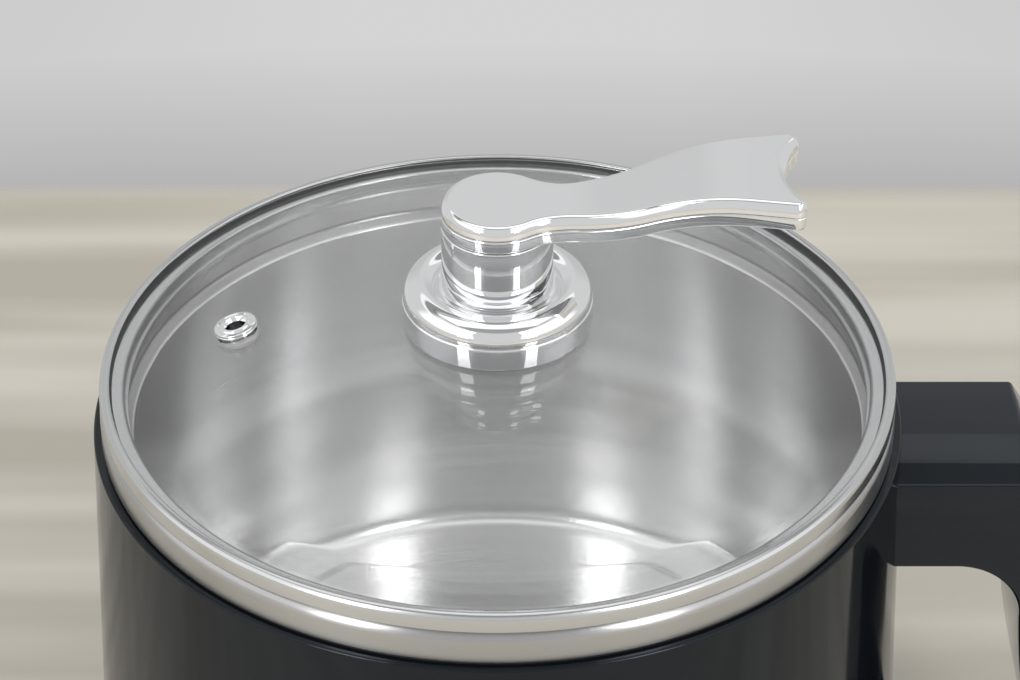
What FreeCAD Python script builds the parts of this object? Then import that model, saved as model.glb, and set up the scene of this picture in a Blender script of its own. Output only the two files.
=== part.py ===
import FreeCAD, Part
import math
import os
import Sketcher

# Electric hot pot with a lift-off glass lid.
# Millimetres. The origin is on the pot's axis, at the height the feet stand on.
# +Z is up, +X points out through the handle and -Y is the front, where the dial is.

Vector = FreeCAD.Vector
Rotation = FreeCAD.Rotation
UPRIGHT = Rotation()
TO_FRONT = Rotation(Vector(1, 0, 0), 90)
TO_BACK = Rotation(Vector(1, 0, 0), -90)
TO_RIGHT = Rotation(Vector(0, 1, 0), 90)
UPSIDE_DOWN = Rotation(Vector(1, 0, 0), 180)

doc = FreeCAD.newDocument("HotPot")
sheet = doc.addObject("Spreadsheet::Sheet", "Sizes")


# ---------------------------------------------------------------- sizes

class Size:
    """A length or angle that knows its value and the expression it comes from."""

    def __init__(self, value, text):
        self.value = float(value)
        self.text = text

    @staticmethod
    def of(other):
        if isinstance(other, Size):
            return other
        return Size(other, f"({float(other):.6f})")

    def join(self, sign, other, value):
        return Size(value, f"({self.text} {sign} {other.text})")

    def __add__(self, other):
        other = Size.of(other)
        return self.join("+", other, self.value + other.value)

    def __sub__(self, other):
        other = Size.of(other)
        return self.join("-", other, self.value - other.value)

    def __mul__(self, other):
        other = Size.of(other)
        return self.join("*", other, self.value * other.value)

    def __truediv__(self, other):
        other = Size.of(other)
        return self.join("/", other, self.value / other.value)

    def __radd__(self, other):
        return Size.of(other) + self

    def __rsub__(self, other):
        return Size.of(other) - self

    def __rmul__(self, other):
        return Size.of(other) * self

    def __neg__(self):
        return Size(-self.value, f"(0 - {self.text})")

    def root(self):
        return Size(math.sqrt(self.value), f"sqrt({self.text})")

    def cos(self):
        return Size(math.cos(math.radians(self.value)), f"cos({self.text})")

    def sin(self):
        return Size(math.sin(math.radians(self.value)), f"sin({self.text})")


def size(alias, value, note):
    """Write one driving dimension into the sheet and hand it back."""
    row = len(sheet.getUsedCells()) // 2 + 1
    sheet.set(f"A{row}", note)
    sheet.set(f"B{row}", str(value))
    sheet.setAlias(f"B{row}", alias)
    return Size(value, f"Sizes.{alias}")


def across(radius, offset):
    """Height of a circle's edge above its centre line, at an offset from its centre."""
    return (radius * radius - offset * offset).root()


# Inner pot, drawn from stainless sheet
pot_radius = size("pot_radius", 83.0, "inner wall of the pot")
pot_sheet = size("pot_sheet", 0.6, "sheet of the pot")
pot_depth = size("pot_depth", 105.0, "floor to rim top")
floor_height = size("floor_height", 38.3, "inner floor above the table")
floor_bend = size("floor_bend", 10.0, "inside bend between floor and wall")
pad_margin = size("pad_margin", 9.0, "flat ring between the bend and the raised middle")
pad_rise = size("pad_rise", 0.8, "rise of the floor's middle")
pad_slope = size("pad_slope", 1.2, "width of the step up to it")
mouth_step = size("mouth_step", 2.2, "mouth wider than the wall, to seat the lid's skirt")
mouth_depth = size("mouth_depth", 10.4, "rim top to the seat ledge")
ledge_drop = size("ledge_drop", 1.6, "height of the sloping seat ledge")
rim_width = size("rim_width", 5.0, "mouth to the outside of the rolled rim")
rim_drop = size("rim_drop", 7.5, "rim top to the rolled edge's lower side")
rim_bend = size("rim_bend", 3.0, "outer bend of the rim")
mouth_bend = size("mouth_bend", 1.8, "inner bend of the rim")
hem_bend = size("hem_bend", 1.0, "bend of the hem under the rim")
hem_width = size("hem_width", 2.0, "width of that hem")
pad_radius = pot_radius - floor_bend - pad_margin
mouth_radius = pot_radius + mouth_step
rim_radius = mouth_radius + rim_width
rim_top = floor_height + pot_depth

# Outer shell, moulded
foot_height = size("foot_height", 5.0, "base cover above the table")
gasket_height = size("gasket_height", 0.6, "seal between rim and shell")
gasket_inset = size("gasket_inset", 0.4, "seal inside the rim's edge")
shell_ledge = size("shell_ledge", 1.8, "shell wider than the rim")
shell_flare = size("shell_flare", 5.0, "shell wider at its foot than at its top")
shell_wall = size("shell_wall", 2.6, "wall of the shell")
shell_lip = size("shell_lip", 3.0, "flange under the pot rim")
shell_edge = size("shell_edge", 0.6, "rounding of the top edge")
mouth_clearance = size("mouth_clearance", 0.4, "flange to the pot's mouth")
shell_top_radius = rim_radius + shell_ledge
shell_foot_radius = shell_top_radius + shell_flare
shell_top = rim_top - rim_drop - gasket_height
shell_height = shell_top - foot_height

# Lid
lid_inset = size("lid_inset", 0.2, "lid ring inside the rim's edge")
ring_sheet = size("ring_sheet", 0.45, "sheet of the lid ring")
glass = size("glass", 3.8, "thickness of the lid glass")
lip_width = size("lip_width", 2.6, "ring's lip over the glass")
lip_bend = size("lip_bend", 0.9, "outer bend of the lip")
heel_bend = size("heel_bend", 0.6, "bend at the ring's lower outer edge")
skirt_play = size("skirt_play", 0.6, "skirt inside the pot's mouth")
skirt_depth = size("skirt_depth", 5.2, "skirt below the rim top")
skirt_bend = size("skirt_bend", 0.3, "bend between seat and skirt")
skirt_hem = size("skirt_hem", 1.6, "folded lower edge of the skirt")
dome_rise = size("dome_rise", 13.2, "top of the dome above its flat edge")
dome_foot = size("dome_foot", 34.6, "hollow arc between the dome and its flat edge")
glass_play = size("glass_play", 0.15, "glass edge to the ring")
lid_radius = rim_radius - lid_inset
skirt_radius = mouth_radius - skirt_play
lid_top = rim_top + glass + ring_sheet * 2
glass_edge = rim_top + ring_sheet
flat_radius = lid_radius - lip_width - 0.2
dome_radius = (flat_radius * flat_radius + dome_rise * dome_rise) / (dome_rise * 2) - dome_foot
dome_top = glass_edge + glass + dome_rise

# Steam vent in the lid
vent_offset = size("vent_offset", 59.5, "vent from the lid's axis")
vent_bearing = size("vent_bearing", 175.3, "direction of the vent")
vent_hole = size("vent_hole", 1.8, "radius of the steam hole")
vent_barrel = size("vent_barrel", 3.0, "outside of the eyelet's barrel")
vent_flange = size("vent_flange", 4.85, "eyelet's flange")
vent_bore = size("vent_bore", 4.0, "hole through the glass")

# Knob and lever on the lid
seal_sheet = size("seal_sheet", 0.6, "silicone seal under the knob")
seal_bed = size("seal_bed", 0.02, "knob's foot over its seal")
collar_radius = size("collar_radius", 21.4, "knob's foot")
collar_band = size("collar_band", 5.5, "upright band of the foot")
collar_bevel = size("collar_bevel", 0.2, "bevel over that band")
shoulder_round = size("shoulder_round", 4.3, "round shoulder of the foot, like half a tyre")
neck_lift = size("neck_lift", 2.55, "foot of the neck above the band")
valley_width = size("valley_width", 0.8, "valley between the shoulder and the neck")
valley_rise = size("valley_rise", 0.3, "outer edge of the valley above its middle")
neck_radius = size("neck_radius", 12.4, "neck, post and hub")
neck_height = size("neck_height", 3.66, "neck ring of the foot")
post_height = size("post_height", 12.65, "post")
seam = size("seam", 0.3, "bevel on each side of a seam")
swivel_gap = size("swivel_gap", 0.1, "hub above the post")
hub_height = size("hub_height", 6.45, "thickness of the lever")
lever_rise = size("lever_rise", 8.1, "tail above the hub")
lever_length = size("lever_length", 70.5, "axis to the tail's tips, before they are rounded")
lever_tip = size("lever_tip", 16.28, "half of the tail's width")
lever_notch = size("lever_notch", 7.75, "depth of the notch in the tail")
bend_start = size("bend_start", 12.5, "where the lever begins to rise")
bend_run = size("bend_run", 42.5, "length of the rise")
lever_bevel = size("lever_bevel", 3.5, "height of the leaning band round the lever's top")
lever_lean = size("lever_lean", 0.5, "how far that band leans in")
neck_round = size("neck_round", 14.0, "waist between hub and paddle")
neck_angle = size("neck_angle", 55.2, "where the waist leaves the hub")
side_angle = size("side_angle", 9.0, "slope of the paddle's sides at the waist")
tip_round = size("tip_round", 2.3, "rounded corners of the tail")
journal_radius = size("journal_radius", 5.0, "lever's journal in the post")
journal_play = size("journal_play", 0.05, "journal clearance all round")
end_play = size("end_play", 0.15, "retaining washer below the post's web")
post_web = size("post_web", 6.0, "web of the post")
socket_radius = size("socket_radius", 8.0, "hollow of the post")
lid_screw_radius = size("lid_screw_radius", 2.5, "screw that holds the knob")
pivot_screw_radius = size("pivot_screw_radius", 2.0, "screw in the journal")

# Handle
arm_top_drop = size("arm_top_drop", 6.8, "arm below the shell's top")
arm_height = size("arm_height", 24.0, "height of the upper arm")
arm_width = size("arm_width", 41.2, "width of the handle")
grip_reach = size("grip_reach", 31.5, "shell's top to the grip's crown, at its top")
bulge_reach = size("bulge_reach", 56.0, "shell's top to the crown where it stands out most")
bulge_height = size("bulge_height", 37.0, "height of that place")
finger_reach = size("finger_reach", 28.8, "shell's top to the grip's inside, under the upper arm")
finger_lean = size("finger_lean", 9.2, "how much further out the inside is at the bulge")
finger_bow = size("finger_bow", 260.0, "slow curve of the grip's inside")
corner_bend = size("corner_bend", 15.5, "bend under the upper arm")
low_arm_bottom = size("low_arm_bottom", 13.0, "lower arm's crown above the table")
low_arm_height = size("low_arm_height", 16.5, "height of the lower arm")
crown_radius = size("crown_radius", 55.0, "crown of the grip across its width")
cover_depth = size("cover_depth", 2.6, "grip cover at its middle")
handle_wall = size("handle_wall", 3.2, "wall of the handle")
screw_head = size("screw_head", 3.6, "heads of the handle's screws")
handle_round = size("handle_round", 1.2, "rounding of the handle's edges")
cover_gap = size("cover_gap", 0.15, "seam round the grip cover")
arm_top = shell_top - arm_top_drop
grip_top = shell_top_radius + grip_reach
grip_bulge = shell_top_radius + bulge_reach
finger_top = shell_top_radius + finger_reach
finger_low = finger_top + finger_lean

# Dial on the front
dial_height = size("dial_height", 27.5, "dial's axis above the table")
boss_radius = size("boss_radius", 19.0, "round seat of the dial")
boss_proud = size("boss_proud", 0.9, "that seat's face proud of the shell")
boss_depth = size("boss_depth", 5.0, "depth of the seat's boss")
plate_thick = size("plate_thick", 1.2, "dial plate")
dial_radius = size("dial_radius", 15.0, "dial")
dial_length = size("dial_length", 15.0, "dial")
dial_gap = size("dial_gap", 0.4, "dial above its plate")
shaft_radius = size("shaft_radius", 3.0, "dial's shaft")
bush_radius = size("bush_radius", 4.5, "threaded bush of the switch")
switch_radius = size("switch_radius", 10.0, "body of the switch")
switch_length = size("switch_length", 21.0, "body of the switch")
lens_height = size("lens_height", 53.5, "indicator above the table")
lens_radius = size("lens_radius", 3.0, "indicator lens")

# Mains inlet at the back
inlet_height = size("inlet_height", 24.0, "inlet's axis above the table")
inlet_proud = size("inlet_proud", 1.2, "inlet's seat proud of the shell")
inlet_flange = size("inlet_flange", 2.4, "flange of the inlet")
inlet_width = size("inlet_width", 24.0, "inside of the inlet, across")
inlet_tall = size("inlet_tall", 16.5, "inside of the inlet, upright")
inlet_depth = size("inlet_depth", 17.0, "inside of the inlet, deep")
inlet_wall = size("inlet_wall", 1.6, "wall of the inlet")

# Heater under the floor
plate_margin = size("plate_margin", 2.0, "heating plate inside the raised floor")
heater_plate = size("heater_plate", 4.0, "thickness of that plate")
coil_inset = size("coil_inset", 14.0, "element's ring inside the plate's edge")
tube_radius = size("tube_radius", 3.3, "heating element's tube")
shield_drop = size("shield_drop", 12.0, "heat shield below the plate")
shield_inset = size("shield_inset", 5.0, "heat shield inside the plate's edge")
shield_sheet = size("shield_sheet", 0.6, "sheet of the heat shield")
boss_inset = size("boss_inset", 18.0, "shield screws inside the element's ring")
cold_end = size("cold_end", 13.0, "element's ends below its ring")
pin_end = size("pin_end", 9.0, "element's pins below its ends")
fuse_radius = size("fuse_radius", 2.0, "thermal fuse")
plate_radius = pad_radius - plate_margin
coil_radius = plate_radius - coil_inset
shield_radius = plate_radius - shield_inset
boss_circle = coil_radius - boss_inset

# Fixings and base
stud_margin = size("stud_margin", 6.0, "pot studs outside the raised floor")
stud_radius = size("stud_radius", 2.0, "pot studs")
lug_height = size("lug_height", 14.0, "underside of the shell's lugs")
lug_thick = size("lug_thick", 4.0, "shell's lugs")
cover_thick = size("cover_thick", 3.0, "base cover")
cover_play = size("cover_play", 0.3, "base cover to the shell")
base_screw_inset = size("base_screw_inset", 10.0, "base screws inside the shell's foot")
foot_inset = size("foot_inset", 19.0, "feet inside the shell's foot")
block_width = size("block_width", 36.0, "terminal block across")
block_depth = size("block_depth", 13.0, "terminal block front to back")
block_height = size("block_height", 9.0, "terminal block")
block_offset = size("block_offset", 20.0, "terminal block behind the axis")
foot_radius = size("foot_radius", 8.0, "rubber foot")
foot_stem = size("foot_stem", 3.2, "foot's stem through the base cover")
stud_circle = pad_radius + stud_margin
base_screw_circle = shell_foot_radius - base_screw_inset
foot_circle = shell_foot_radius - foot_inset


def shell_radius_at(height):
    """Outside of the tapering shell at a height."""
    slope = (shell_foot_radius - shell_top_radius) / shell_height
    return shell_foot_radius - (height - foot_height) * slope


boss_face = shell_radius_at(dial_height) + boss_proud
inlet_face = shell_radius_at(inlet_height) + inlet_proud

doc.recompute()

SCREW_BEARINGS = (60, 180, 300)
LUG_BEARINGS = (0, 120, 240)
FOOT_BEARINGS = (45, 135, 225, 315)
SHIELD_BEARINGS = (30, 150, 270)

subparts = []


# ---------------------------------------------------------------- helpers

def bind(thing, prop, length):
    """Give a property its size, tied to the sheet where it comes from there."""
    length = Size.of(length)
    if not prop.startswith("Placement"):
        setattr(thing, prop, length.value)
    if "Sizes." in length.text:
        thing.setExpression(prop, length.text)


def place(thing, x=0, y=0, z=0, turn=UPRIGHT):
    """Put a thing at a place that follows the sheet."""
    spot = [Size.of(c) for c in (x, y, z)]
    thing.Placement = FreeCAD.Placement(Vector(*(c.value for c in spot)), turn)
    for axis, c in zip("xyz", spot):
        bind(thing, f"Placement.Base.{axis}", c)
    return thing


def turned(out, aside, bearing):
    """The x and y of a point at a distance out along a bearing and another aside from it."""
    angle = math.radians(bearing)
    x = out * math.cos(angle) - aside * math.sin(angle)
    y = out * math.sin(angle) + aside * math.cos(angle)
    return x, y


def new_body(label, groups=False):
    """Start a sub-part. A group holds several separate solids."""
    body = doc.addObject("PartDesign::Body", label)
    body.Label = label
    body.AllowCompound = groups
    subparts.append(body)
    return body


def datum(body, role):
    """One of the body's own origin planes or axes."""
    return next(f for f in body.Origin.OriginFeatures if f.Role == role)


def new_sketch(body, plane, offset=0.0):
    """A sketch on one of the body's origin planes, moved along its normal."""
    sketch = body.newObject("Sketcher::SketchObject", "sketch")
    sketch.AttachmentSupport = [(datum(body, plane), "")]
    sketch.MapMode = "FlatFace"
    offset = Size.of(offset)
    sketch.AttachmentOffset = FreeCAD.Placement(Vector(0, 0, offset.value), UPRIGHT)
    if "Sizes." in offset.text:
        sketch.setExpression("AttachmentOffset.Base.z", offset.text)
    return sketch


def arc_centre(start, end, radius):
    """Centre of the arc from start to end. A positive radius turns left."""
    half = (end - start) * 0.5
    rise = math.sqrt(max(radius * radius - half.Length ** 2, 0.0))
    left = Vector(-half.y, half.x, 0).normalize()
    return start + half + left * math.copysign(rise, radius)


def fix(sketch, kind, *target):
    """Add a constraint whose size follows the sheet."""
    *where, length = target
    length = Size.of(length)
    number = sketch.addConstraint(Sketcher.Constraint(kind, *where, length.value))
    if "Sizes." in length.text:
        sketch.setExpression(f"Constraints[{number}]", length.text)


def outline(sketch, corners):
    """Draw a closed outline. A corner is (x, y), or (x, y, radius) where an arc leads to it."""
    spots = [tuple(Size.of(c) for c in corner) for corner in corners]
    points = [Vector(spot[0].value, spot[1].value, 0) for spot in spots]
    for i, spot in enumerate(spots):
        start, end = points[i - 1], points[i]
        if len(spot) == 2:
            edge = sketch.addGeometry(Part.LineSegment(start, end), False)
            tail = 2
        else:
            radius = spot[2]
            centre = arc_centre(start, end, radius.value)
            circle = Part.Circle(centre, Vector(0, 0, 1), abs(radius.value))
            first, last = (start, end) if radius.value > 0 else (end, start)
            angles = [math.atan2(p.y - centre.y, p.x - centre.x) for p in (first, last)]
            edge = sketch.addGeometry(Part.ArcOfCircle(circle, *angles), False)
            tail = 2 if radius.value > 0 else 1
            fix(sketch, "Radius", edge, radius if radius.value > 0 else -radius)
        fix(sketch, "DistanceX", -1, 1, edge, tail, spot[0])
        fix(sketch, "DistanceY", -1, 1, edge, tail, spot[1])
        if i:
            sketch.addConstraint(Sketcher.Constraint("Coincident", last_edge, last_tail, edge, 3 - tail))
        else:
            first_edge, first_head = edge, 3 - tail
        last_edge, last_tail = edge, tail
    sketch.addConstraint(Sketcher.Constraint("Coincident", last_edge, last_tail, first_edge, first_head))
    return sketch


def spin(body, corners, turn=360.0, kind="Revolution"):
    """Turn an outline in the XZ plane round the body's Z axis."""
    sketch = outline(new_sketch(body, "XZ_Plane"), corners)
    feature = body.newObject(f"PartDesign::{kind}", kind.lower())
    feature.Profile = sketch
    feature.ReferenceAxis = (sketch, ["V_Axis"])
    feature.Angle = turn
    return feature


def extrude(body, sketch, depth, kind="Pad", both_ways=False, back=False):
    """Pad or pocket a sketch by a depth."""
    feature = body.newObject(f"PartDesign::{kind}", kind.lower())
    feature.Profile = sketch
    feature.SideType = "Symmetric" if both_ways else "One side"
    feature.Reversed = back
    bind(feature, "Length", depth)
    return feature


def block(body, kind, x, y, z, length, width, height):
    """A box between x and x + length, and so on."""
    feature = body.newObject(f"PartDesign::{kind}Box", "box")
    place(feature, x, y, z)
    bind(feature, "Length", length)
    bind(feature, "Width", width)
    bind(feature, "Height", height)
    return feature


def rod(body, kind, radius, height, x=0, y=0, z=0, turn=UPRIGHT):
    """A cylinder that starts at a point and runs along its turned axis."""
    feature = body.newObject(f"PartDesign::{kind}Cylinder", "rod")
    place(feature, x, y, z, turn)
    bind(feature, "Radius", radius)
    bind(feature, "Height", height)
    return feature


def cone(body, low_radius, high_radius, height, x, y, z, kind="Additive"):
    """An upright cone."""
    feature = body.newObject(f"PartDesign::{kind}Cone", "cone")
    place(feature, x, y, z)
    bind(feature, "Radius1", low_radius)
    bind(feature, "Radius2", high_radius)
    bind(feature, "Height", height)
    return feature


def rods(body, kind, radius, height, circle, bearings, z):
    """One upright cylinder at each bearing on a circle round the axis."""
    for bearing in bearings:
        x, y = turned(circle, 0.0, bearing)
        rod(body, kind, radius, height, x, y, z)


def blocks(body, kind, bearings, start, z, length, width, height):
    """One box at each bearing, pointing outwards and centred on it."""
    for bearing in bearings:
        x, y = turned(start, Size.of(width) * -0.5, bearing)
        box = block(body, kind, x, y, z, length, width, height)
        place(box, x, y, z, Rotation(Vector(0, 0, 1), bearing))


def round_edges(body, radius, wanted, name="Fillet"):
    """Round, or bevel, the edges of the body's last feature that are wanted."""
    doc.recompute()
    base = body.Tip
    names = [f"Edge{i + 1}" for i, edge in enumerate(base.Shape.Edges) if wanted(edge)]
    feature = body.newObject(f"PartDesign::{name}", name.lower())
    feature.Base = (base, names)
    bind(feature, "Radius" if name == "Fillet" else "Size", radius)
    return feature


def repeat(body, feature, count, turn=360.0):
    """Repeat a feature round the body's Z axis."""
    pattern = body.newObject("PartDesign::PolarPattern", "pattern")
    pattern.Originals = [feature]
    pattern.Axis = (datum(body, "Z_Axis"), [""])
    pattern.Angle = turn
    pattern.Occurrences = count
    body.Tip = pattern
    return pattern


def bore(body, inner, outer, low, high):
    """A plain ring between two radii and two heights."""
    return spin(body, [(inner, low), (outer, low), (outer, high), (inner, high)])


def cone_cut(body, clearance):
    """Cut a body where the shell's outer surface, or a gap outside it, would be."""
    cone(body, shell_foot_radius + clearance, shell_top_radius + clearance, shell_height,
         0, 0, foot_height, "Subtractive")


# ---------------------------------------------------------------- pot and shell

def make_inner_pot():
    """Deep-drawn pot with a raised floor, a seat for the lid and a rolled rim."""
    body = new_body("inner_pot")
    out = pot_sheet
    ledge = rim_top - mouth_depth
    rim_low = rim_top - rim_drop
    crown = rim_radius - rim_bend
    spin(body, [
        (0, floor_height + pad_rise),
        (pad_radius, floor_height + pad_rise),
        (pad_radius + pad_slope, floor_height),
        (pot_radius - floor_bend, floor_height),
        (pot_radius, floor_height + floor_bend, floor_bend),
        (pot_radius, ledge - ledge_drop),
        (mouth_radius, ledge),
        (mouth_radius, rim_top - mouth_bend),
        (mouth_radius + mouth_bend, rim_top, -mouth_bend),
        (crown, rim_top),
        (rim_radius, rim_top - rim_bend, -rim_bend),
        (rim_radius, rim_low + hem_bend),
        (rim_radius - hem_bend, rim_low, -hem_bend),
        (rim_radius - hem_width, rim_low),
        (rim_radius - hem_width, rim_low + out),
        (rim_radius - hem_bend, rim_low + out),
        (rim_radius - out, rim_low + hem_bend, hem_bend - out),
        (rim_radius - out, rim_top - rim_bend),
        (crown, rim_top - out, rim_bend - out),
        (mouth_radius + mouth_bend, rim_top - out),
        (mouth_radius + out, rim_top - mouth_bend, mouth_bend - out),
        (mouth_radius + out, ledge - out / 3),
        (pot_radius + out, ledge - ledge_drop - out / 3),
        (pot_radius + out, floor_height + floor_bend),
        (pot_radius - floor_bend, floor_height - out, -(floor_bend + out)),
        (pad_radius + pad_slope - out / 3, floor_height - out),
        (pad_radius - out / 3, floor_height + pad_rise - out),
        (0, floor_height + pad_rise - out),
    ])


def make_rim_gasket():
    """Silicone ring that seals the rim to the shell."""
    body = new_body("rim_gasket")
    inner = mouth_radius + pot_sheet + mouth_clearance + shell_edge
    bore(body, inner, rim_radius - gasket_inset, shell_top, shell_top + gasket_height)


def make_outer_shell():
    """Tapering moulded shell with its seats, lugs and screw posts."""
    body = new_body("outer_shell")
    lip_radius = mouth_radius + pot_sheet + mouth_clearance
    under_lip = shell_top - shell_lip
    spin(body, [
        (shell_foot_radius, foot_height),
        (shell_top_radius, shell_top - shell_edge),
        (shell_top_radius - shell_edge, shell_top, shell_edge),
        (lip_radius, shell_top),
        (lip_radius, under_lip),
        (shell_radius_at(under_lip) - shell_wall, under_lip),
        (shell_foot_radius - shell_wall, foot_height),
    ])
    # seat of the dial
    rod(body, "Additive", boss_radius, boss_depth, 0, -(boss_face - boss_depth), dial_height, TO_FRONT)
    # seat of the inlet
    seat_width = inlet_width + 20.0
    seat_tall = inlet_tall + 11.5
    block(body, "Additive", seat_width * -0.5, inlet_face - 9.0, inlet_height - seat_tall / 2,
          seat_width, 9.0, seat_tall)
    # lugs for the pot's studs, with a rib under each
    lug_start = stud_circle - 7.0
    lug_end = shell_foot_radius - 1.4
    blocks(body, "Additive", LUG_BEARINGS, lug_start, lug_height, lug_end - lug_start, 16.0, lug_thick)
    rib_start = stud_circle + 7.0
    blocks(body, "Additive", LUG_BEARINGS, rib_start, lug_height - 5.0, lug_end - rib_start, 3.0, 5.5)
    rods(body, "Subtractive", stud_radius + 0.3, lug_thick + 2.0, stud_circle, LUG_BEARINGS, lug_height - 1.0)
    # screw posts for the base cover, each with a web to the wall
    cover_top = foot_height + cover_thick
    web_length = shell_foot_radius - 1.9 - base_screw_circle
    rods(body, "Additive", 4.5, 20.0, base_screw_circle, SCREW_BEARINGS, cover_top)
    blocks(body, "Additive", SCREW_BEARINGS, base_screw_circle, cover_top, web_length, 3.0, 20.0)
    rods(body, "Subtractive", 1.4, 14.0, base_screw_circle, SCREW_BEARINGS, cover_top - 1.0)
    # openings of the dial's bush, the indicator and the inlet
    rod(body, "Subtractive", bush_radius + 0.2, 12.0, 0, -(boss_face - 10.0), dial_height, TO_FRONT)
    rod(body, "Subtractive", lens_radius + 0.1, 12.0, 0, -(boss_face - 10.0), lens_height, TO_FRONT)
    hole_width = inlet_width + inlet_wall * 2 + 0.4
    hole_tall = inlet_tall + inlet_wall * 2 + 0.4
    block(body, "Subtractive", hole_width * -0.5, inlet_face - 12.0, inlet_height - hole_tall / 2,
          hole_width, 14.0, hole_tall)
    for x, z in inlet_screw_spots():
        rod(body, "Subtractive", 1.3, 8.0, x, inlet_face - 7.0, z, TO_BACK)
    # holes of the handle's screws
    for y, z in handle_screw_spots():
        rod(body, "Subtractive", 2.2, 16.0, shell_top_radius - 8.0, y, z, TO_RIGHT)


def inlet_screw_spots():
    """The two screws beside the inlet."""
    reach = inlet_width / 2 + 4.4
    return [(-reach, inlet_height), (reach, inlet_height)]


def handle_screw_spots():
    """Two screws into the upper arm and one into the lower."""
    upper = arm_top - arm_height / 2
    lower = low_arm_bottom + cover_depth + (low_arm_height - cover_depth) / 2
    return [(Size.of(-10.5), upper), (Size.of(10.5), upper), (Size.of(0.0), lower)]


def make_weld_studs():
    """Threaded studs welded under the pot."""
    body = new_body("weld_studs", groups=True)
    top = floor_height - pot_sheet
    rods(body, "Additive", stud_radius, top - lug_height + 4.8, stud_circle, LUG_BEARINGS, lug_height - 4.8)


def make_stud_nuts():
    """Washers and nuts that pull the pot down into the shell."""
    washers = new_body("stud_washers", groups=True)
    rods(washers, "Additive", 5.0, 0.8, stud_circle, LUG_BEARINGS, lug_height - 0.8)
    rods(washers, "Subtractive", stud_radius + 0.2, 2.0, stud_circle, LUG_BEARINGS, lug_height - 1.4)
    nuts = new_body("stud_nuts", groups=True)
    sketch = new_sketch(nuts, "XY_Plane", lug_height - 4.0)
    flat = 3.5
    corner = flat / math.cos(math.radians(30))
    outline(sketch, [(stud_circle + corner * math.cos(math.radians(60 * i)),
                      corner * math.sin(math.radians(60 * i))) for i in range(6)])
    extrude(nuts, sketch, 3.2)
    repeat(nuts, nuts.Tip, len(LUG_BEARINGS))
    rods(nuts, "Subtractive", stud_radius, 5.0, stud_circle, LUG_BEARINGS, lug_height - 4.6)


# ---------------------------------------------------------------- heater

def make_heating_plate():
    """Aluminium plate brazed under the floor, grooved for the element."""
    body = new_body("heating_plate")
    top = floor_height + pad_rise - pot_sheet
    rod(body, "Additive", plate_radius, heater_plate, 0, 0, top - heater_plate)
    post = shield_drop - shield_sheet
    low = top - heater_plate - post
    rods(body, "Additive", 3.0, post, boss_circle, SHIELD_BEARINGS, low)
    rods(body, "Subtractive", 1.3, 9.0, boss_circle, SHIELD_BEARINGS, low - 1.0)
    groove = body.newObject("PartDesign::SubtractiveTorus", "groove")
    place(groove, 0, 0, top - heater_plate - 1.0)
    bind(groove, "Radius1", coil_radius)
    bind(groove, "Radius2", tube_radius)


def make_heating_element():
    """Sheathed element: an open ring with two cold ends turned down."""
    body = new_body("heating_element")
    level = floor_height + pad_rise - pot_sheet - heater_plate - 1.0
    ring = body.newObject("PartDesign::AdditiveTorus", "ring")
    place(ring, 0, 0, level, Rotation(Vector(0, 0, 1), 290))
    bind(ring, "Radius1", coil_radius)
    bind(ring, "Radius2", tube_radius)
    ring.Angle3 = 320
    for bearing in (290, 250):
        x, y = turned(coil_radius, 0.0, bearing)
        elbow = body.newObject("PartDesign::AdditiveSphere", "elbow")
        place(elbow, x, y, level - 1.0)
        bind(elbow, "Radius", tube_radius + 0.2)
        rod(body, "Additive", tube_radius, cold_end - 1.0, x, y, level - cold_end)
        rod(body, "Additive", tube_radius - 1.1, 3.5, x, y, level - cold_end - 3.0)
        rod(body, "Additive", 1.1, pin_end - 2.0, x, y, level - cold_end - pin_end)


def make_heat_shield():
    """Pressed dish that keeps the heat off the base."""
    body = new_body("heat_shield")
    plate_low = floor_height + pad_rise - pot_sheet - heater_plate
    low = plate_low - shield_drop
    t = shield_sheet
    r = shield_radius
    spin(body, [
        (12.0, low), (r - 3.0, low), (r, low + 3.0, 3.0), (r, plate_low), (r - t, plate_low),
        (r - t, low + 3.0), (r - 3.0, low + t, t - 3.0), (12.0, low + t),
    ])
    rods(body, "Subtractive", tube_radius + 1.5, 4.0, coil_radius, (250, 290), low - 1.0)
    rods(body, "Subtractive", 1.5, 4.0, boss_circle, SHIELD_BEARINGS, low - 1.0)


def make_shield_screws():
    """Three screws under the heat shield."""
    body = new_body("shield_screws", groups=True)
    low = floor_height + pad_rise - pot_sheet - heater_plate - shield_drop
    rods(body, "Additive", 2.8, 1.8, boss_circle, SHIELD_BEARINGS, low - 1.8)
    rods(body, "Additive", 1.3, 8.0, boss_circle, SHIELD_BEARINGS, low - 0.2)


def make_thermostat():
    """Snap-disc cut-out pressed against the middle of the plate."""
    body = new_body("thermostat")
    plate_low = floor_height + pad_rise - pot_sheet - heater_plate
    low = plate_low - 9.0
    spin(body, [
        (0, low), (6.5, low), (7.5, low + 1.0), (7.5, plate_low - 3.0), (8.6, plate_low - 3.0),
        (8.6, plate_low), (0, plate_low),
    ])
    for side in (-1, 1):
        block(body, "Additive", side * 4.5 - 0.4, -3.15, low - 8.0, 0.8, 6.3, 9.0)


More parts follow.
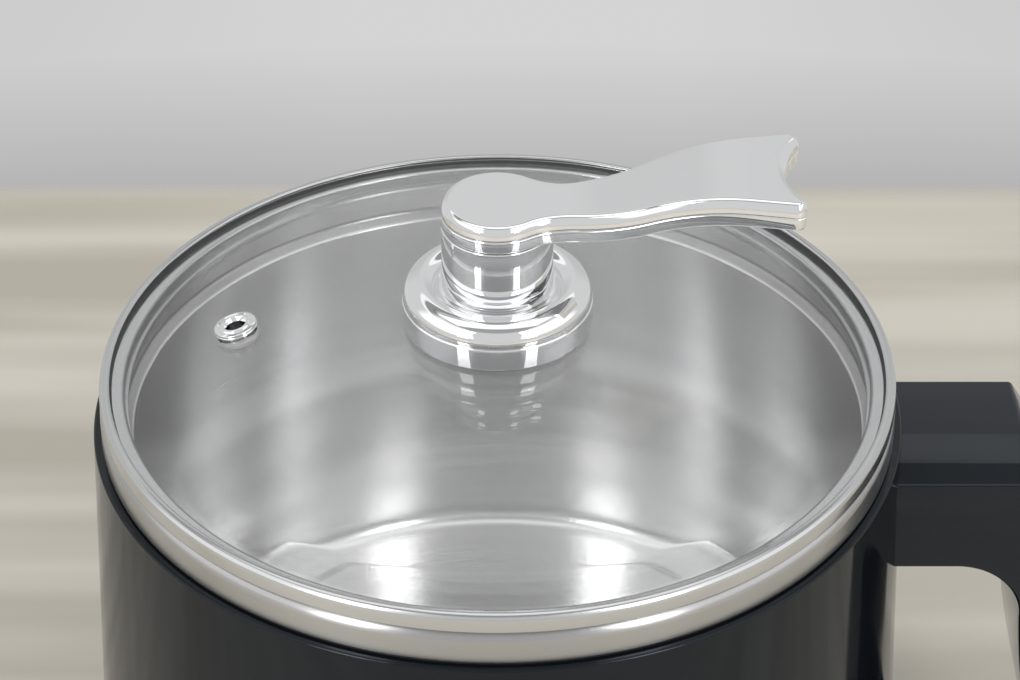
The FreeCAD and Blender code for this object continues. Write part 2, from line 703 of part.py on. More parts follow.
def make_thermal_fuse():
    """One-shot fuse in its sleeve, and the clamp that holds it to the plate."""
    plate_low = floor_height + pad_rise - pot_sheet - heater_plate
    level = plate_low - fuse_radius - 0.6
    fuse = new_body("thermal_fuse")
    rod(fuse, "Additive", fuse_radius, 14.0, -7.0, 22.0, level, TO_RIGHT)
    rod(fuse, "Additive", 0.6, 26.0, -13.0, 22.0, level, TO_RIGHT)
    clamp = new_body("fuse_clamp")
    height = fuse_radius * 2 + 1.4
    block(clamp, "Additive", -3.0, 18.5, plate_low - height, 6.0, 7.0, height)
    rod(clamp, "Subtractive", fuse_radius, 8.0, -4.0, 22.0, level, TO_RIGHT)


# ---------------------------------------------------------------- base

def make_base_cover():
    """Base cover with radial vents, screw recesses and foot sockets."""
    body = new_body("base_cover")
    radius = shell_foot_radius - shell_wall - cover_play
    rod(body, "Additive", radius, cover_thick, 0, 0, foot_height)
    # a low wall on the inside stiffens the disc
    wall = foot_circle - foot_radius - 6.0
    bore(body, wall - 2.0, wall, foot_height + cover_thick - 0.2, foot_height + cover_thick + 2.2)
    through = cover_thick + 2.0
    under = foot_height - 1.0
    blocks(body, "Subtractive", range(0, 360, 24), 26.0, under, 26.0, 3.0, through)
    rods(body, "Subtractive", 1.7, through, base_screw_circle, SCREW_BEARINGS, under)
    rods(body, "Subtractive", 3.4, 2.6, base_screw_circle, SCREW_BEARINGS, under)
    rods(body, "Subtractive", foot_stem, through, foot_circle, FOOT_BEARINGS, under)


def make_base_screws():
    """Three screws through the base cover into the shell's posts."""
    body = new_body("base_screws", groups=True)
    rods(body, "Additive", 3.1, 1.4, base_screw_circle, SCREW_BEARINGS, foot_height + 0.2)
    rods(body, "Additive", 1.4, 12.0, base_screw_circle, SCREW_BEARINGS, foot_height + 1.4)
    rods(body, "Subtractive", 1.2, 1.0, base_screw_circle, SCREW_BEARINGS, foot_height - 0.2)


def make_rubber_feet():
    """Four rubber feet, each with a stem that snaps through the base cover."""
    body = new_body("rubber_feet", groups=True)
    cover_top = foot_height + cover_thick
    for bearing in FOOT_BEARINGS:
        x, y = turned(foot_circle, 0.0, bearing)
        cone(body, foot_radius - 1.0, foot_radius, foot_height, x, y, 0)
        rod(body, "Additive", foot_stem, cover_thick + 0.4, x, y, foot_height - 0.4)
        cone(body, foot_stem + 1.0, foot_stem - 0.8, 2.0, x, y, cover_top)
        rod(body, "Subtractive", 3.5, 1.2, x, y, 0)


# ---------------------------------------------------------------- handle

def bulge_centre():
    """Distance from the axis of the centre of the grip's long outer arc."""
    rise = arm_top - bulge_height
    out = grip_bulge - grip_top
    radius = (out * out + rise * rise) / (out * 2)
    return grip_bulge - radius, radius


def make_handle_frame():
    """Channel-shaped handle: two arms and the inside of the grip, open outwards."""
    body = new_body("handle_frame")
    centre, reach = bulge_centre()
    reach = reach - cover_depth
    low_round = bulge_height - low_arm_bottom
    low_centre = grip_bulge - low_round
    low_round = low_round - cover_depth
    arm_low = arm_top - arm_height
    low_arm_top = low_arm_bottom + low_arm_height
    finger_round = bulge_height - low_arm_top
    start = shell_top_radius - 3.0
    grip_corner = finger_top - corner_bend
    sketch = outline(new_sketch(body, "XZ_Plane"), [
        (start, arm_top),
        (start, arm_low),
        (grip_corner, arm_low),
        (finger_top, arm_low - corner_bend, -corner_bend),
        (finger_low, bulge_height, finger_bow),
        (finger_low - finger_round, low_arm_top, -finger_round),
        (start, low_arm_top),
        (start, low_arm_bottom + cover_depth),
        (low_centre, low_arm_bottom + cover_depth),
        (grip_bulge - cover_depth, bulge_height, low_round),
        (centre + across(reach, arm_top - bulge_height), arm_top, reach),
    ])
    extrude(body, sketch, arm_width, both_ways=True)
    # hollow of the grip, open towards the cover
    wall = handle_wall
    hollow_start = shell_top_radius + 14.0
    outer = grip_bulge + 1.0
    sketch = outline(new_sketch(body, "XZ_Plane"), [
        (hollow_start, arm_top - wall),
        (hollow_start, arm_low + wall),
        (grip_corner, arm_low + wall),
        (finger_top + wall, arm_low - corner_bend, -(corner_bend + wall)),
        (finger_low + wall, bulge_height, finger_bow - wall),
        (finger_low - finger_round, low_arm_top - wall, -(finger_round + wall)),
        (hollow_start, low_arm_top - wall),
        (hollow_start, low_arm_bottom),
        (outer, low_arm_bottom),
        (outer, arm_top - wall),
    ])
    extrude(body, sketch, arm_width - 13.0, kind="Pocket", both_ways=True)
    # the inside edges are rounded, the outer edges are bevelled
    half = arm_width.value / 2

    def on_side(edge):
        box = edge.BoundBox
        return box.YLength < 0.01 and abs(abs(box.YMin) - half) < 0.01 and box.XMin > start.value - 0.01

    def inside_edge(edge):
        spot = edge.CenterOfMass
        inside = low_arm_top.value - 0.1 < spot.z < arm_low.value + 0.1 and spot.x < finger_low.value + 0.1
        return on_side(edge) and spot.x > start.value + 1.0 and inside

    def outside_edge(edge):
        spot = edge.CenterOfMass
        low = spot.z < low_arm_bottom.value + cover_depth.value + 0.1
        high = spot.z > arm_top.value - 0.1
        return on_side(edge) and spot.x > start.value + 1.0 and (low or high or spot.x > finger_low.value + 2.0)

    round_edges(body, handle_round, inside_edge)
    round_edges(body, handle_round, outside_edge, "Chamfer")
    for y, z in handle_screw_spots():
        rod(body, "Subtractive", 1.6, 20.0, shell_top_radius - 4.0, y, z, TO_RIGHT)
    cone_cut(body, 0.0)


def make_handle_cover():
    """Crowned outer cover of the grip, swept along the grip's two arcs."""
    body = new_body("handle_cover")
    centre, reach = bulge_centre()
    low_round = bulge_height - low_arm_bottom
    low_centre = grip_bulge - low_round
    inner = grip_bulge - cover_depth
    half = across(crown_radius, crown_radius - cover_depth) - cover_gap
    for line, turn, back in ((centre, 36.0, True), (low_centre, 90.0, False)):
        sketch = new_sketch(body, "XY_Plane", bulge_height)
        outline(sketch, [(inner, half, crown_radius), (inner, -half), (inner + cover_depth, 0, crown_radius)])
        axis = sketch.addGeometry(Part.LineSegment(Vector(line.value, -30, 0), Vector(line.value, 30, 0)), True)
        sketch.addConstraint(Sketcher.Constraint("Vertical", axis))
        fix(sketch, "DistanceX", -1, 1, axis, 1, line)
        fix(sketch, "DistanceY", axis, 1, -1, 1, 30.0)
        fix(sketch, "DistanceY", -1, 1, axis, 2, 30.0)
        feature = body.newObject("PartDesign::Revolution", "sweep")
        feature.Profile = sketch
        feature.ReferenceAxis = (sketch, ["Axis0"])
        feature.Angle = turn
        feature.Reversed = back
    # flat run under the lower arm
    sketch = new_sketch(body, "YZ_Plane", shell_top_radius + 2.0)
    low = low_arm_bottom
    outline(sketch, [(-half, low + cover_depth), (0, low, crown_radius), (half, low + cover_depth, crown_radius)])
    extrude(body, sketch, low_centre - shell_top_radius - 2.0)
    block(body, "Subtractive", shell_top_radius, arm_width * -1, arm_top, bulge_reach, arm_width * 2, arm_height)
    cone_cut(body, 0.3)


def make_handle_screws():
    """Screws from inside the shell into the handle's arms."""
    body = new_body("handle_screws", groups=True)
    for y, z in handle_screw_spots():
        reach = Size.of(abs(y.value)) + screw_head
        seat = across(shell_radius_at(z + screw_head) - shell_wall, reach) - 0.03
        rod(body, "Additive", screw_head, 2.2, seat - 2.2, y, z, TO_RIGHT)
        rod(body, "Additive", 1.6, 14.0, seat - 0.4, y, z, TO_RIGHT)


# ---------------------------------------------------------------- dial

def make_control_switch():
    """Rotary heat switch with a threaded bush through the shell's seat."""
    body = new_body("control_switch")
    back = boss_face - boss_depth
    rod(body, "Additive", switch_radius, switch_length, 0, -back, dial_height, TO_BACK)
    rod(body, "Additive", bush_radius, boss_depth + plate_thick + 4.0, 0, -(back - 0.2), dial_height, TO_FRONT)
    rod(body, "Subtractive", shaft_radius + 0.05, boss_depth + 22.0, 0, -(back - 15.0), dial_height, TO_FRONT)
    for side in (-1, 1):
        block(body, "Additive", side * 6.0 - 3.1, -(back - switch_length + 0.2), dial_height - 0.4, 6.3, 7.0, 0.8)


def make_switch_nut():
    """Hexagon nut that clamps the switch and the dial plate."""
    body = new_body("switch_nut")
    sketch = new_sketch(body, "XZ_Plane", boss_face + plate_thick)
    corner = 6.6
    outline(sketch, [(corner * math.cos(math.radians(60 * i)), dial_height + corner * math.sin(math.radians(60 * i)))
                     for i in range(6)])
    extrude(body, sketch, 2.6)
    rod(body, "Subtractive", bush_radius, 6.0, 0, -boss_face, dial_height, TO_FRONT)


def make_dial_plate():
    """Round plate behind the dial that carries the scale."""
    body = new_body("dial_plate")
    rod(body, "Additive", boss_radius - 0.6, plate_thick, 0, -boss_face, dial_height, TO_FRONT)
    rod(body, "Subtractive", bush_radius + 0.2, plate_thick + 2.0, 0, -(boss_face - 1.0), dial_height, TO_FRONT)


def make_control_dial():
    """Fluted dial, modelled along Z and laid down on its shaft."""
    body = new_body("control_dial")
    r = dial_radius
    length = dial_length
    spin(body, [
        (9.0, 0), (r, 0), (r, 1.6), (r - 0.8, 2.4), (r - 1.4, length - 1.6), (r - 3.0, length, 1.8),
        (0, length), (0, length - 2.4), (shaft_radius, length - 2.4), (shaft_radius, 5.2),
        (9.0, 5.2),
    ])
    flute = rod(body, "Subtractive", 1.5, length, r + 0.2, 0, 3.4)
    repeat(body, flute, 18)
    # pointer groove across the front
    block(body, "Subtractive", -0.6, 3.0, length - 0.6, 1.2, r - 5.0, 2.0)
    place(body, 0, -(boss_face + plate_thick + dial_gap), dial_height, TO_FRONT)


def make_dial_shaft():
    """Shaft that turns with the dial inside the switch."""
    body = new_body("dial_shaft")
    tip = boss_face + plate_thick + dial_gap + dial_length - 2.4
    tail = boss_face - boss_depth - 14.0
    rod(body, "Additive", shaft_radius, tip - tail, 0, -tail, dial_height, TO_FRONT)


def make_indicator():
    """Indicator lens and the neon lamp behind it."""
    lens = new_body("indicator_lens")
    flange = lens_radius + 1.1
    seat = across(shell_radius_at(lens_height + flange) - shell_wall, flange) - 0.03
    spin(lens, [
        (0, -1.4), (flange, -1.4), (flange, 0), (lens_radius, 0),
        (lens_radius, shell_wall + 0.4), (0, shell_wall + 1.4, (lens_radius * lens_radius + 1.0) / 2),
    ])
    place(lens, 0, -seat, lens_height, TO_FRONT)
    lamp = new_body("indicator_lamp")
    rod(lamp, "Additive", 2.4, 13.0, 0, -(seat - 3.8), lens_height - 8.0)
    rod(lamp, "Additive", 0.5, 6.0, -1.0, -(seat - 3.8), lens_height - 13.8)
    rod(lamp, "Additive", 0.5, 6.0, 1.0, -(seat - 3.8), lens_height - 13.8)


# ---------------------------------------------------------------- inlet and wiring

def make_inlet():
    """Mains inlet for a detachable lead, its pins and its screws."""
    socket = new_body("inlet_socket")
    wide = inlet_width + inlet_wall * 2
    tall = inlet_tall + inlet_wall * 2
    face = inlet_face + inlet_flange
    rear = face - inlet_depth - 3.0
    block(socket, "Additive", wide * -0.5, rear, inlet_height - tall / 2, wide, face - rear, tall)
    flange_wide = inlet_width + 17.0
    flange_tall = inlet_tall + 7.5
    block(socket, "Additive", flange_wide * -0.5, inlet_face, inlet_height - flange_tall / 2,
          flange_wide, inlet_flange, flange_tall)
    # recess with two sloping corners, as the plug has
    sketch = new_sketch(socket, "XZ_Plane", -face)
    half = inlet_width / 2
    low = inlet_height - inlet_tall / 2
    high = inlet_height + inlet_tall / 2
    outline(sketch, [(-half, low), (half, low), (half, high - 4.5), (half - 4.5, high),
                     (4.5 - half, high), (-half, high - 4.5)])
    extrude(socket, sketch, inlet_depth, kind="Pocket", back=True)
    for x, z in inlet_screw_spots():
        rod(socket, "Subtractive", 1.7, 6.0, x, inlet_face - 1.0, z, TO_BACK)
    for x, z in inlet_pin_spots():
        block(socket, "Subtractive", x - 1.0, rear - 1.0, z - 2.0, 2.0, 5.0, 4.0)
    pins = new_body("inlet_pins", groups=True)
    for x, z in inlet_pin_spots():
        block(pins, "Additive", x - 1.0, rear - 7.0, z - 2.0, 2.0, inlet_depth + 5.4, 4.0)
    screws = new_body("inlet_screws", groups=True)
    for x, z in inlet_screw_spots():
        rod(screws, "Additive", 2.8, 1.6, x, face, z, TO_BACK)
        rod(screws, "Additive", 1.3, 7.0, x, face - 6.6, z, TO_BACK)


def inlet_pin_spots():
    """Line and neutral below, earth above between them."""
    return [(-7.0, inlet_height - 2.0), (7.0, inlet_height - 2.0), (0.0, inlet_height + 2.0)]


def make_terminal_block():
    """Ceramic block on the base cover where the leads meet."""
    body = new_body("terminal_block")
    floor = foot_height + cover_thick
    block(body, "Additive", block_width * -0.5, block_offset, floor, block_width, block_depth, block_height)
    for side in (-1, 0, 1):
        x = block_width * side / 3
        middle = block_offset + block_depth / 2
        rod(body, "Subtractive", 1.7, block_depth + 2.0, x, block_offset - 1.0, floor + block_height / 2, TO_BACK)
        rod(body, "Subtractive", 2.0, block_height / 2 + 1.0, x, middle, floor + block_height / 2)


# ---------------------------------------------------------------- lid

def dome_blend():
    """Where the dome meets the hollow arc at its foot: radius, and height over the sphere's centre."""
    share = dome_radius / (dome_radius + dome_foot)
    return flat_radius * share, (dome_radius - dome_rise + dome_foot) * share


def dome_height(offset):
    """Top of the glass above the table, at an offset from the axis."""
    return dome_top - dome_radius + across(dome_radius, offset)


def make_lid_glass():
    """Tempered glass dome with a flat edge, a knob hole and a vent hole."""
    body = new_body("lid_glass")
    meet, lift = dome_blend()
    centre = dome_top - dome_radius
    hole = lid_screw_radius + 1.7
    edge = lid_radius - ring_sheet - glass_play
    top = glass_edge + glass
    crest = centre + across(dome_radius, hole)
    spin(body, [
        (hole, crest - glass),
        (meet, centre + lift - glass, -dome_radius),
        (flat_radius, glass_edge, dome_foot),
        (edge - 0.6, glass_edge),
        (edge, glass_edge + 0.6, 0.6),
        (edge, top - 0.6),
        (edge - 0.6, top, 0.6),
        (flat_radius, top),
        (meet, centre + lift, -dome_foot),
        (hole, crest, dome_radius),
    ])
    cutter = rod(body, "Subtractive", vent_bore, glass * 3)
    cutter.Placement = vent_frame(-glass.value * 1.5)


def vent_frame(lift):
    """Placement on the glass over the vent, with Z square to the dome."""
    tilt = math.degrees(math.asin(vent_offset.value / dome_radius.value))
    turn = Rotation(Vector(0, 0, 1), vent_bearing.value).multiply(Rotation(Vector(0, 1, 0), tilt))
    x, y = turned(vent_offset.value, 0.0, vent_bearing.value)
    foot = Vector(x, y, dome_height(vent_offset).value)
    return FreeCAD.Placement(foot + turn.multVec(Vector(0, 0, lift)), turn)


def make_lid_ring():
    """Rolled steel ring round the glass, with the skirt that drops into the pot."""
    body = new_body("lid_ring")
    t = ring_sheet
    low = rim_top
    skirt_low = rim_top - skirt_depth
    inside = skirt_radius - t
    big = skirt_bend + t
    spin(body, [
        (lid_radius - lip_width, lid_top - t),
        (lid_radius - lip_width + t, lid_top, -t),
        (lid_radius - lip_bend, lid_top),
        (lid_radius, lid_top - lip_bend, -lip_bend),
        (lid_radius, low + heel_bend),
        (lid_radius - heel_bend, low, -heel_bend),
        (skirt_radius + skirt_bend, low),
        (skirt_radius, low - skirt_bend, skirt_bend),
        (skirt_radius, skirt_low + t),
        (inside, skirt_low, -t),
        (inside - t, skirt_low + t, -t),
        (inside - t, skirt_low + skirt_hem),
        (inside, skirt_low + skirt_hem),
        (inside, low + t - big),
        (inside + big, low + t, -big),
        (lid_radius - heel_bend, low + t),
        (lid_radius - t, low + heel_bend, heel_bend - t),
        (lid_radius - t, lid_top - lip_bend),
        (lid_radius - lip_bend, lid_top - t, lip_bend - t),
    ])


def make_vent():
    """Steam eyelet riveted through a silicone grommet."""
    eyelet = new_body("vent_eyelet")
    low = -glass - 0.8
    spin(eyelet, [
        (vent_hole, low - 0.9), (vent_flange - 0.6, low - 0.9), (vent_flange - 0.6, low),
        (vent_barrel, low), (vent_barrel, 0), (vent_flange, 0), (vent_flange, 0.3),
        (vent_flange - 0.8, 1.1, 0.8), (vent_hole + 0.5, 1.1), (vent_hole, 0.6, 0.5),
    ])
    eyelet.Placement = vent_frame(0.05)
    grommet = new_body("vent_grommet")
    under = -glass - 0.05
    spin(grommet, [
        (vent_barrel, low), (vent_flange, low), (vent_flange, under), (vent_bore, under),
        (vent_bore, 0), (vent_barrel, 0),
    ])
    grommet.Placement = vent_frame(0.05)


# ---------------------------------------------------------------- knob and lever

def collar_levels():
    """Heights of the knob's foot: crease, neck and seam."""
    crease = dome_height(collar_radius) + seal_sheet + collar_band + collar_bevel
    neck = crease + neck_lift
    return crease, neck, neck + neck_height


def make_knob_seal():
    """Silicone seal that follows the dome under the knob's foot."""
    body = new_body("knob_seal")
    centre = dome_top - dome_radius
    inner, outer = lid_screw_radius + 0.1, collar_radius - 0.9
    lifted = dome_radius + seal_sheet - seal_bed
    spin(body, [
        (inner, centre + across(dome_radius, inner)),
        (outer, centre + across(dome_radius, outer), -dome_radius),
        (outer, centre + across(lifted, outer)),
        (inner, centre + across(lifted, inner), lifted),
    ])


def make_knob_foot():
    """Turned foot of the knob, hollow-ground to the dome, with a spigot for the post."""
    body = new_body("knob_foot")
    centre = dome_top - dome_radius
    lifted = dome_radius + seal_sheet
    crease, neck, seam_level = collar_levels()
    under = centre + across(lifted, collar_radius)
    screw = lid_screw_radius
    spin(body, [
        (screw, centre + across(lifted, screw)),
        (collar_radius, under, -lifted),
        (collar_radius, crease - collar_bevel),
        (collar_radius - collar_bevel, crease),
        (neck_radius + valley_width, neck + valley_rise, shoulder_round),
        (neck_radius, neck),
        (neck_radius, seam_level - seam),
        (neck_radius - seam, seam_level),
        (socket_radius - 0.05, seam_level),
        (socket_radius - 0.05, seam_level + 2.6),
        (0, seam_level + 2.6),
        (0, neck),
        (screw, neck),
    ])


def make_knob_post():
    """Hollow post with a web that carries the lever's journal."""
    body = new_body("knob_post")
    low = collar_levels()[2]
    top = low + post_height
    journal = journal_radius + journal_play
    spin(body, [
        (socket_radius, low), (neck_radius - seam, low), (neck_radius, low + seam),
        (neck_radius, top - seam), (neck_radius - seam, top), (journal, top),
        (journal, top - post_web), (socket_radius, top - post_web),
    ])


def make_lid_fixing():
    """Screw, washer and seal that clamp the knob from inside the lid."""
    centre = dome_top - dome_radius
    under = dome_radius - 0.0
    seal = new_body("lid_seal")
    outer = 10.0
    inner = lid_screw_radius + 0.1
    level = dome_top - glass - 1.2
    spin(seal, [
        (inner, level), (outer, level), (outer, centre + across(under, outer) - glass),
        (inner, centre + across(under, inner) - glass, dome_radius),
    ])
    washer = new_body("lid_washer")
    bore(washer, lid_screw_radius + 0.1, 9.0, level - 1.0, level)
    screw = new_body("lid_screw")
    head = level - 1.0
    tip = collar_levels()[1] - 0.6
    spin(screw, [
        (0, head - 2.6), (2.6, head - 2.6), (4.6, head - 1.2, 3.0), (4.6, head),
        (lid_screw_radius, head), (lid_screw_radius, tip - 0.6), (lid_screw_radius - 0.6, tip), (0, tip),
    ])
    block(screw, "Subtractive", -3.0, -0.5, head - 3.2, 6.0, 1.0, 1.6)
    block(screw, "Subtractive", -0.5, -3.0, head - 3.2, 1.0, 6.0, 1.6)


def make_lever():
    """Paddle lever: a round hub, a rising waist and a fish-tail end."""
    body = new_body("lever")
    low = collar_levels()[2] + post_height + swivel_gap
    top = low + hub_height
    half_run = bend_run / 2
    half_rise = lever_rise / 2
    bend = (half_run * half_run + half_rise * half_rise) / lever_rise
    end = lever_length + 4.0
    start = -(neck_radius + 2.0)
    side = outline(new_sketch(body, "XZ_Plane"), [
        (start, low),
        (bend_start, low),
        (bend_start + half_run, low + half_rise, bend),
        (bend_start + bend_run, low + lever_rise, -bend),
        (end, low + lever_rise),
        (end, top + lever_rise),
        (bend_start + bend_run, top + lever_rise),
        (bend_start + half_run, top + half_rise, bend),
        (bend_start, top, -bend),
        (start, top),
    ])
    extrude(body, side, lever_tip * 3, both_ways=True)
    # everything outside the lever's plan is cut away
    plan = new_sketch(body, "XY_Plane", low - 5.0)
    notch = lever_notch
    notch_radius = (lever_tip * lever_tip + notch * notch) / (notch * 2)
    hub_x = neck_radius * neck_angle.cos()
    hub_y = neck_radius * neck_angle.sin()
    waist_x = (neck_radius + neck_round) * neck_angle.cos() + neck_round * side_angle.sin()
    waist_y = (neck_radius + neck_round) * neck_angle.sin() - neck_round * side_angle.cos()
    outline(plan, [
        (-neck_radius, 0, neck_radius),
        (hub_x, -hub_y, neck_radius),
        (waist_x, -waist_y, -neck_round),
        (lever_length, -lever_tip),
        (lever_length, lever_tip, -notch_radius),
        (waist_x, waist_y),
        (hub_x, hub_y, -neck_round),
    ])
    outline_frame(plan, 120.0)
    extrude(body, plan, 40.0, kind="Pocket", back=True)

    def upright_at(x, y):
        def wanted(edge):
            box = edge.BoundBox
            here = abs(box.XMin - x) + abs(abs(box.YMin) - y) < 0.1
            return here and box.XLength + box.YLength < 0.01
        return wanted

    round_edges(body, tip_round, upright_at(lever_length.value, lever_tip.value))

    def on_top(edge):
        across_lever = edge.BoundBox.XLength < 0.01
        spot = edge.valueAt((edge.FirstParameter + edge.LastParameter) / 2)
        along = min(max(spot.x - bend_start.value, 0.0), bend_run.value)
        on_second = along > half_run.value
        along = bend_run.value - along if on_second else along
        rise = bend.value - math.sqrt(bend.value ** 2 - along ** 2)
        rise = lever_rise.value - rise if on_second else rise
        return not across_lever and abs(spot.z - top.value - rise) < 0.01

    band = round_edges(body, lever_bevel, on_top, "Chamfer")
    band.ChamferType = "Two distances"
    bind(band, "Size2", lever_lean)
    rod(body, "Additive", journal_radius, post_web + swivel_gap + end_play, 0, 0,
        low - post_web - swivel_gap - end_play)
    rod(body, "Subtractive", pivot_screw_radius, 8.6, 0, 0, low - post_web - swivel_gap - end_play)


def outline_frame(sketch, reach):
    """A square round a sketch's outline, so that a pocket keeps only the outline."""
    outline(sketch, [(-reach, -reach), (reach, -reach), (reach, reach), (-reach, reach)])


def make_pivot():
    """Washer and screw that keep the lever's journal in the post."""
    low = collar_levels()[2] + post_height + swivel_gap
    under = low - post_web - swivel_gap - end_play
    washer = new_body("pivot_washer")
    bore(washer, pivot_screw_radius, 7.0, under - 0.9, under)
    screw = new_body("pivot_screw")
    head = under - 0.9
    rod(screw, "Additive", 3.6, 2.0, 0, 0, head - 2.0)
    rod(screw, "Additive", pivot_screw_radius, 9.0, 0, 0, head - 0.2)
    rod(screw, "Subtractive", 1.5, 1.2, 0, 0, head - 2.2)


# ---------------------------------------------------------------- build

make_inner_pot()
make_rim_gasket()
make_outer_shell()
make_weld_studs()
make_stud_nuts()
make_heating_plate()
make_heating_element()
make_heat_shield()
make_shield_screws()
make_thermostat()
make_thermal_fuse()
make_base_cover()
make_base_screws()
make_rubber_feet()
make_handle_frame()
make_handle_cover()
make_handle_screws()
make_control_switch()
make_switch_nut()
make_dial_plate()
make_control_dial()
make_dial_shaft()
make_indicator()
make_inlet()
make_terminal_block()
make_lid_glass()
make_lid_ring()
make_vent()
make_knob_seal()
make_knob_foot()
make_knob_post()
make_lid_fixing()
make_lever()
make_pivot()

doc.recompute()

faults = [f"{thing.Name} of {thing.getParentGroup() and thing.getParentGroup().Label}: {thing.State}"
          for thing in doc.Objects if "Invalid" in thing.State or "Error" in thing.State]
for part in subparts:
    if part.Shape.isNull() or not part.Shape.isValid():
        faults.append(f"{part.Label}: bad shape")
if faults:
    raise SystemExit("\n".join(faults))

os.makedirs("parts", exist_ok=True)
for part in subparts:
    shape = part.Shape
    shape.exportStep(f"parts/{part.Label}.step")
    print(f"{part.Label}: {len(shape.Solids)} solid(s), {shape.Volume / 1000:.2f} cm3")
print(f"{len(subparts)} sub-parts")
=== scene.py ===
# %% [markdown]
# # An electric hot pot with a glass lid
# The pot is a gloss moulded shell round a brushed steel bowl. A domed glass lid in a steel ring lies on
# it, and a chrome knob with a lever stands on the lid. The CAD model gives every piece its place, so
# this lesson only has to make the surfaces finer and give each one its real finish. Most of the pieces
# are turned, so most of the shapes here are outlines that are spun round the pot's axis.

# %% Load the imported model
import math

import bmesh
import bpy
import numpy as np
from mathutils import Matrix, Vector


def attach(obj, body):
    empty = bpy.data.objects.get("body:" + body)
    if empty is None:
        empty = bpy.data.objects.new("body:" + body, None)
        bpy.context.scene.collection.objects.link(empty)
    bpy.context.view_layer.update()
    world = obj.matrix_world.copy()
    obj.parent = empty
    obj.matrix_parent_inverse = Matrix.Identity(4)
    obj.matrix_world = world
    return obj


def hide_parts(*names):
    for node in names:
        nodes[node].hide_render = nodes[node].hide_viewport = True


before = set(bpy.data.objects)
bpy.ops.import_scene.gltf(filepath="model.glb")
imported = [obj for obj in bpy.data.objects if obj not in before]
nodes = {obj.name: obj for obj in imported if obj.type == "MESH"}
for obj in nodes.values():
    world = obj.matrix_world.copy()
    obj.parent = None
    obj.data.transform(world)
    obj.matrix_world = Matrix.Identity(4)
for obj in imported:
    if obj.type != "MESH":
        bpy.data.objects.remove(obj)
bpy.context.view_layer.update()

# %% [markdown]
# ## Outlines
# A maker's drawing of a turned piece is half of its section: corners, and the radius of each rounded
# corner. The helper below takes such corners in millimetres and gives back the points of the outline,
# with every rounding as a run of short steps. Modifiers could bevel the edges later, but a section
# says exactly how large each rounding is, and it costs nothing.

# %% Round the corners of an outline
MM = 0.001


def rounded(corners, closed=True, step=9.0):
    """Points of an outline whose corners are (x, y) or (x, y, radius), in millimetres."""
    count = len(corners)
    points = []
    for i, corner in enumerate(corners):
        here = np.array(corner[:2], float)
        radius = corner[2] if len(corner) > 2 else 0.0
        ends = not closed and i in (0, count - 1)
        if radius == 0.0 or ends:
            points.append(here)
            continue
        back = np.array(corners[i - 1][:2], float) - here
        ahead = np.array(corners[(i + 1) % count][:2], float) - here
        back /= np.linalg.norm(back)
        ahead /= np.linalg.norm(ahead)
        half = math.acos(max(-1.0, min(1.0, float(back @ ahead)))) / 2
        centre = here + (back + ahead) / np.linalg.norm(back + ahead) * radius / math.sin(half)
        first = here + back * radius / math.tan(half) - centre
        last = here + ahead * radius / math.tan(half) - centre
        turn = math.atan2(first[0] * last[1] - first[1] * last[0], float(first @ last))
        steps = max(2, math.ceil(abs(math.degrees(turn)) / step))
        for k in range(steps + 1):
            c, s = math.cos(turn * k / steps), math.sin(turn * k / steps)
            points.append(centre + (first[0] * c - first[1] * s, first[0] * s + first[1] * c))
    return np.array(points)


def arc(start, end, radius, steps=24):
    """Points of an arc after its start: a radius above zero turns left, one below it turns right."""
    a, b = np.array(start, float), np.array(end, float)
    chord = b - a
    length = np.linalg.norm(chord)
    left = np.array((-chord[1], chord[0])) / length
    centre = (a + b) / 2 + left * math.copysign(math.sqrt(radius * radius - length * length / 4), radius)
    turn = math.copysign(2 * math.asin(length / 2 / abs(radius)), radius)
    x, y = a - centre
    points = []
    for k in range(1, steps + 1):
        c, s = math.cos(turn * k / steps), math.sin(turn * k / steps)
        points.append(tuple(centre + (x * c - y * s, x * s + y * c)))
    return points


square = rounded([(0, 0, 1), (9, 0, 1), (9, 9, 1), (0, 9, 1)])
print("a square with round corners has", len(square), "points")

# %% [markdown]
# ## Spinning an outline
# Blender has a Screw modifier for this. Here the ring of faces is written out directly, because then
# the outline's first and last points can lie on the axis and share one vertex, and because several
# hundred steps round give a mirror finish with no facets. Edges that turn more than 30 degrees stay
# sharp, the others are shaded smooth.

# %% Lathe helper


def piece(name, points, faces, sharp=30.0):
    """A mesh object from points in millimetres."""
    mesh = bpy.data.meshes.new(name)
    mesh.from_pydata((np.asarray(points, float) * MM).tolist(), [], faces)
    mesh.validate()
    mesh.shade_smooth()
    mesh.set_sharp_from_angle(angle=math.radians(sharp))
    made = bpy.data.objects.new(name, mesh)
    bpy.context.scene.collection.objects.link(made)
    return made


def lathe(name, outline, turns=360):
    """Spin a closed outline of (radius, height) points round the Z axis."""
    outline = np.asarray(outline, float)
    following = np.roll(outline, -1, axis=0)
    area = float(np.sum(outline[:, 0] * following[:, 1] - following[:, 0] * outline[:, 1]))
    if area < 0:
        outline = outline[::-1]
    angles = np.arange(turns) * 2 * math.pi / turns
    points, first = [], []
    for radius, height in outline:
        on_axis = radius < 1e-6
        first.append((len(points), on_axis))
        if on_axis:
            points.append((0.0, 0.0, height))
        else:
            points.extend(zip(radius * np.cos(angles), radius * np.sin(angles), np.full(turns, height)))
    faces = []
    for i in range(len(outline)):
        (a, a_pole), (b, b_pole) = first[i], first[(i + 1) % len(outline)]
        for j in range(turns):
            k = (j + 1) % turns
            if a_pole and b_pole:
                continue
            if a_pole:
                faces.append((a, b + k, b + j))
            elif b_pole:
                faces.append((a + j, a + k, b))
            else:
                faces.append((a + j, a + k, b + k, b + j))
    return piece(name, points, faces)


print("ready to turn pieces on the lathe")

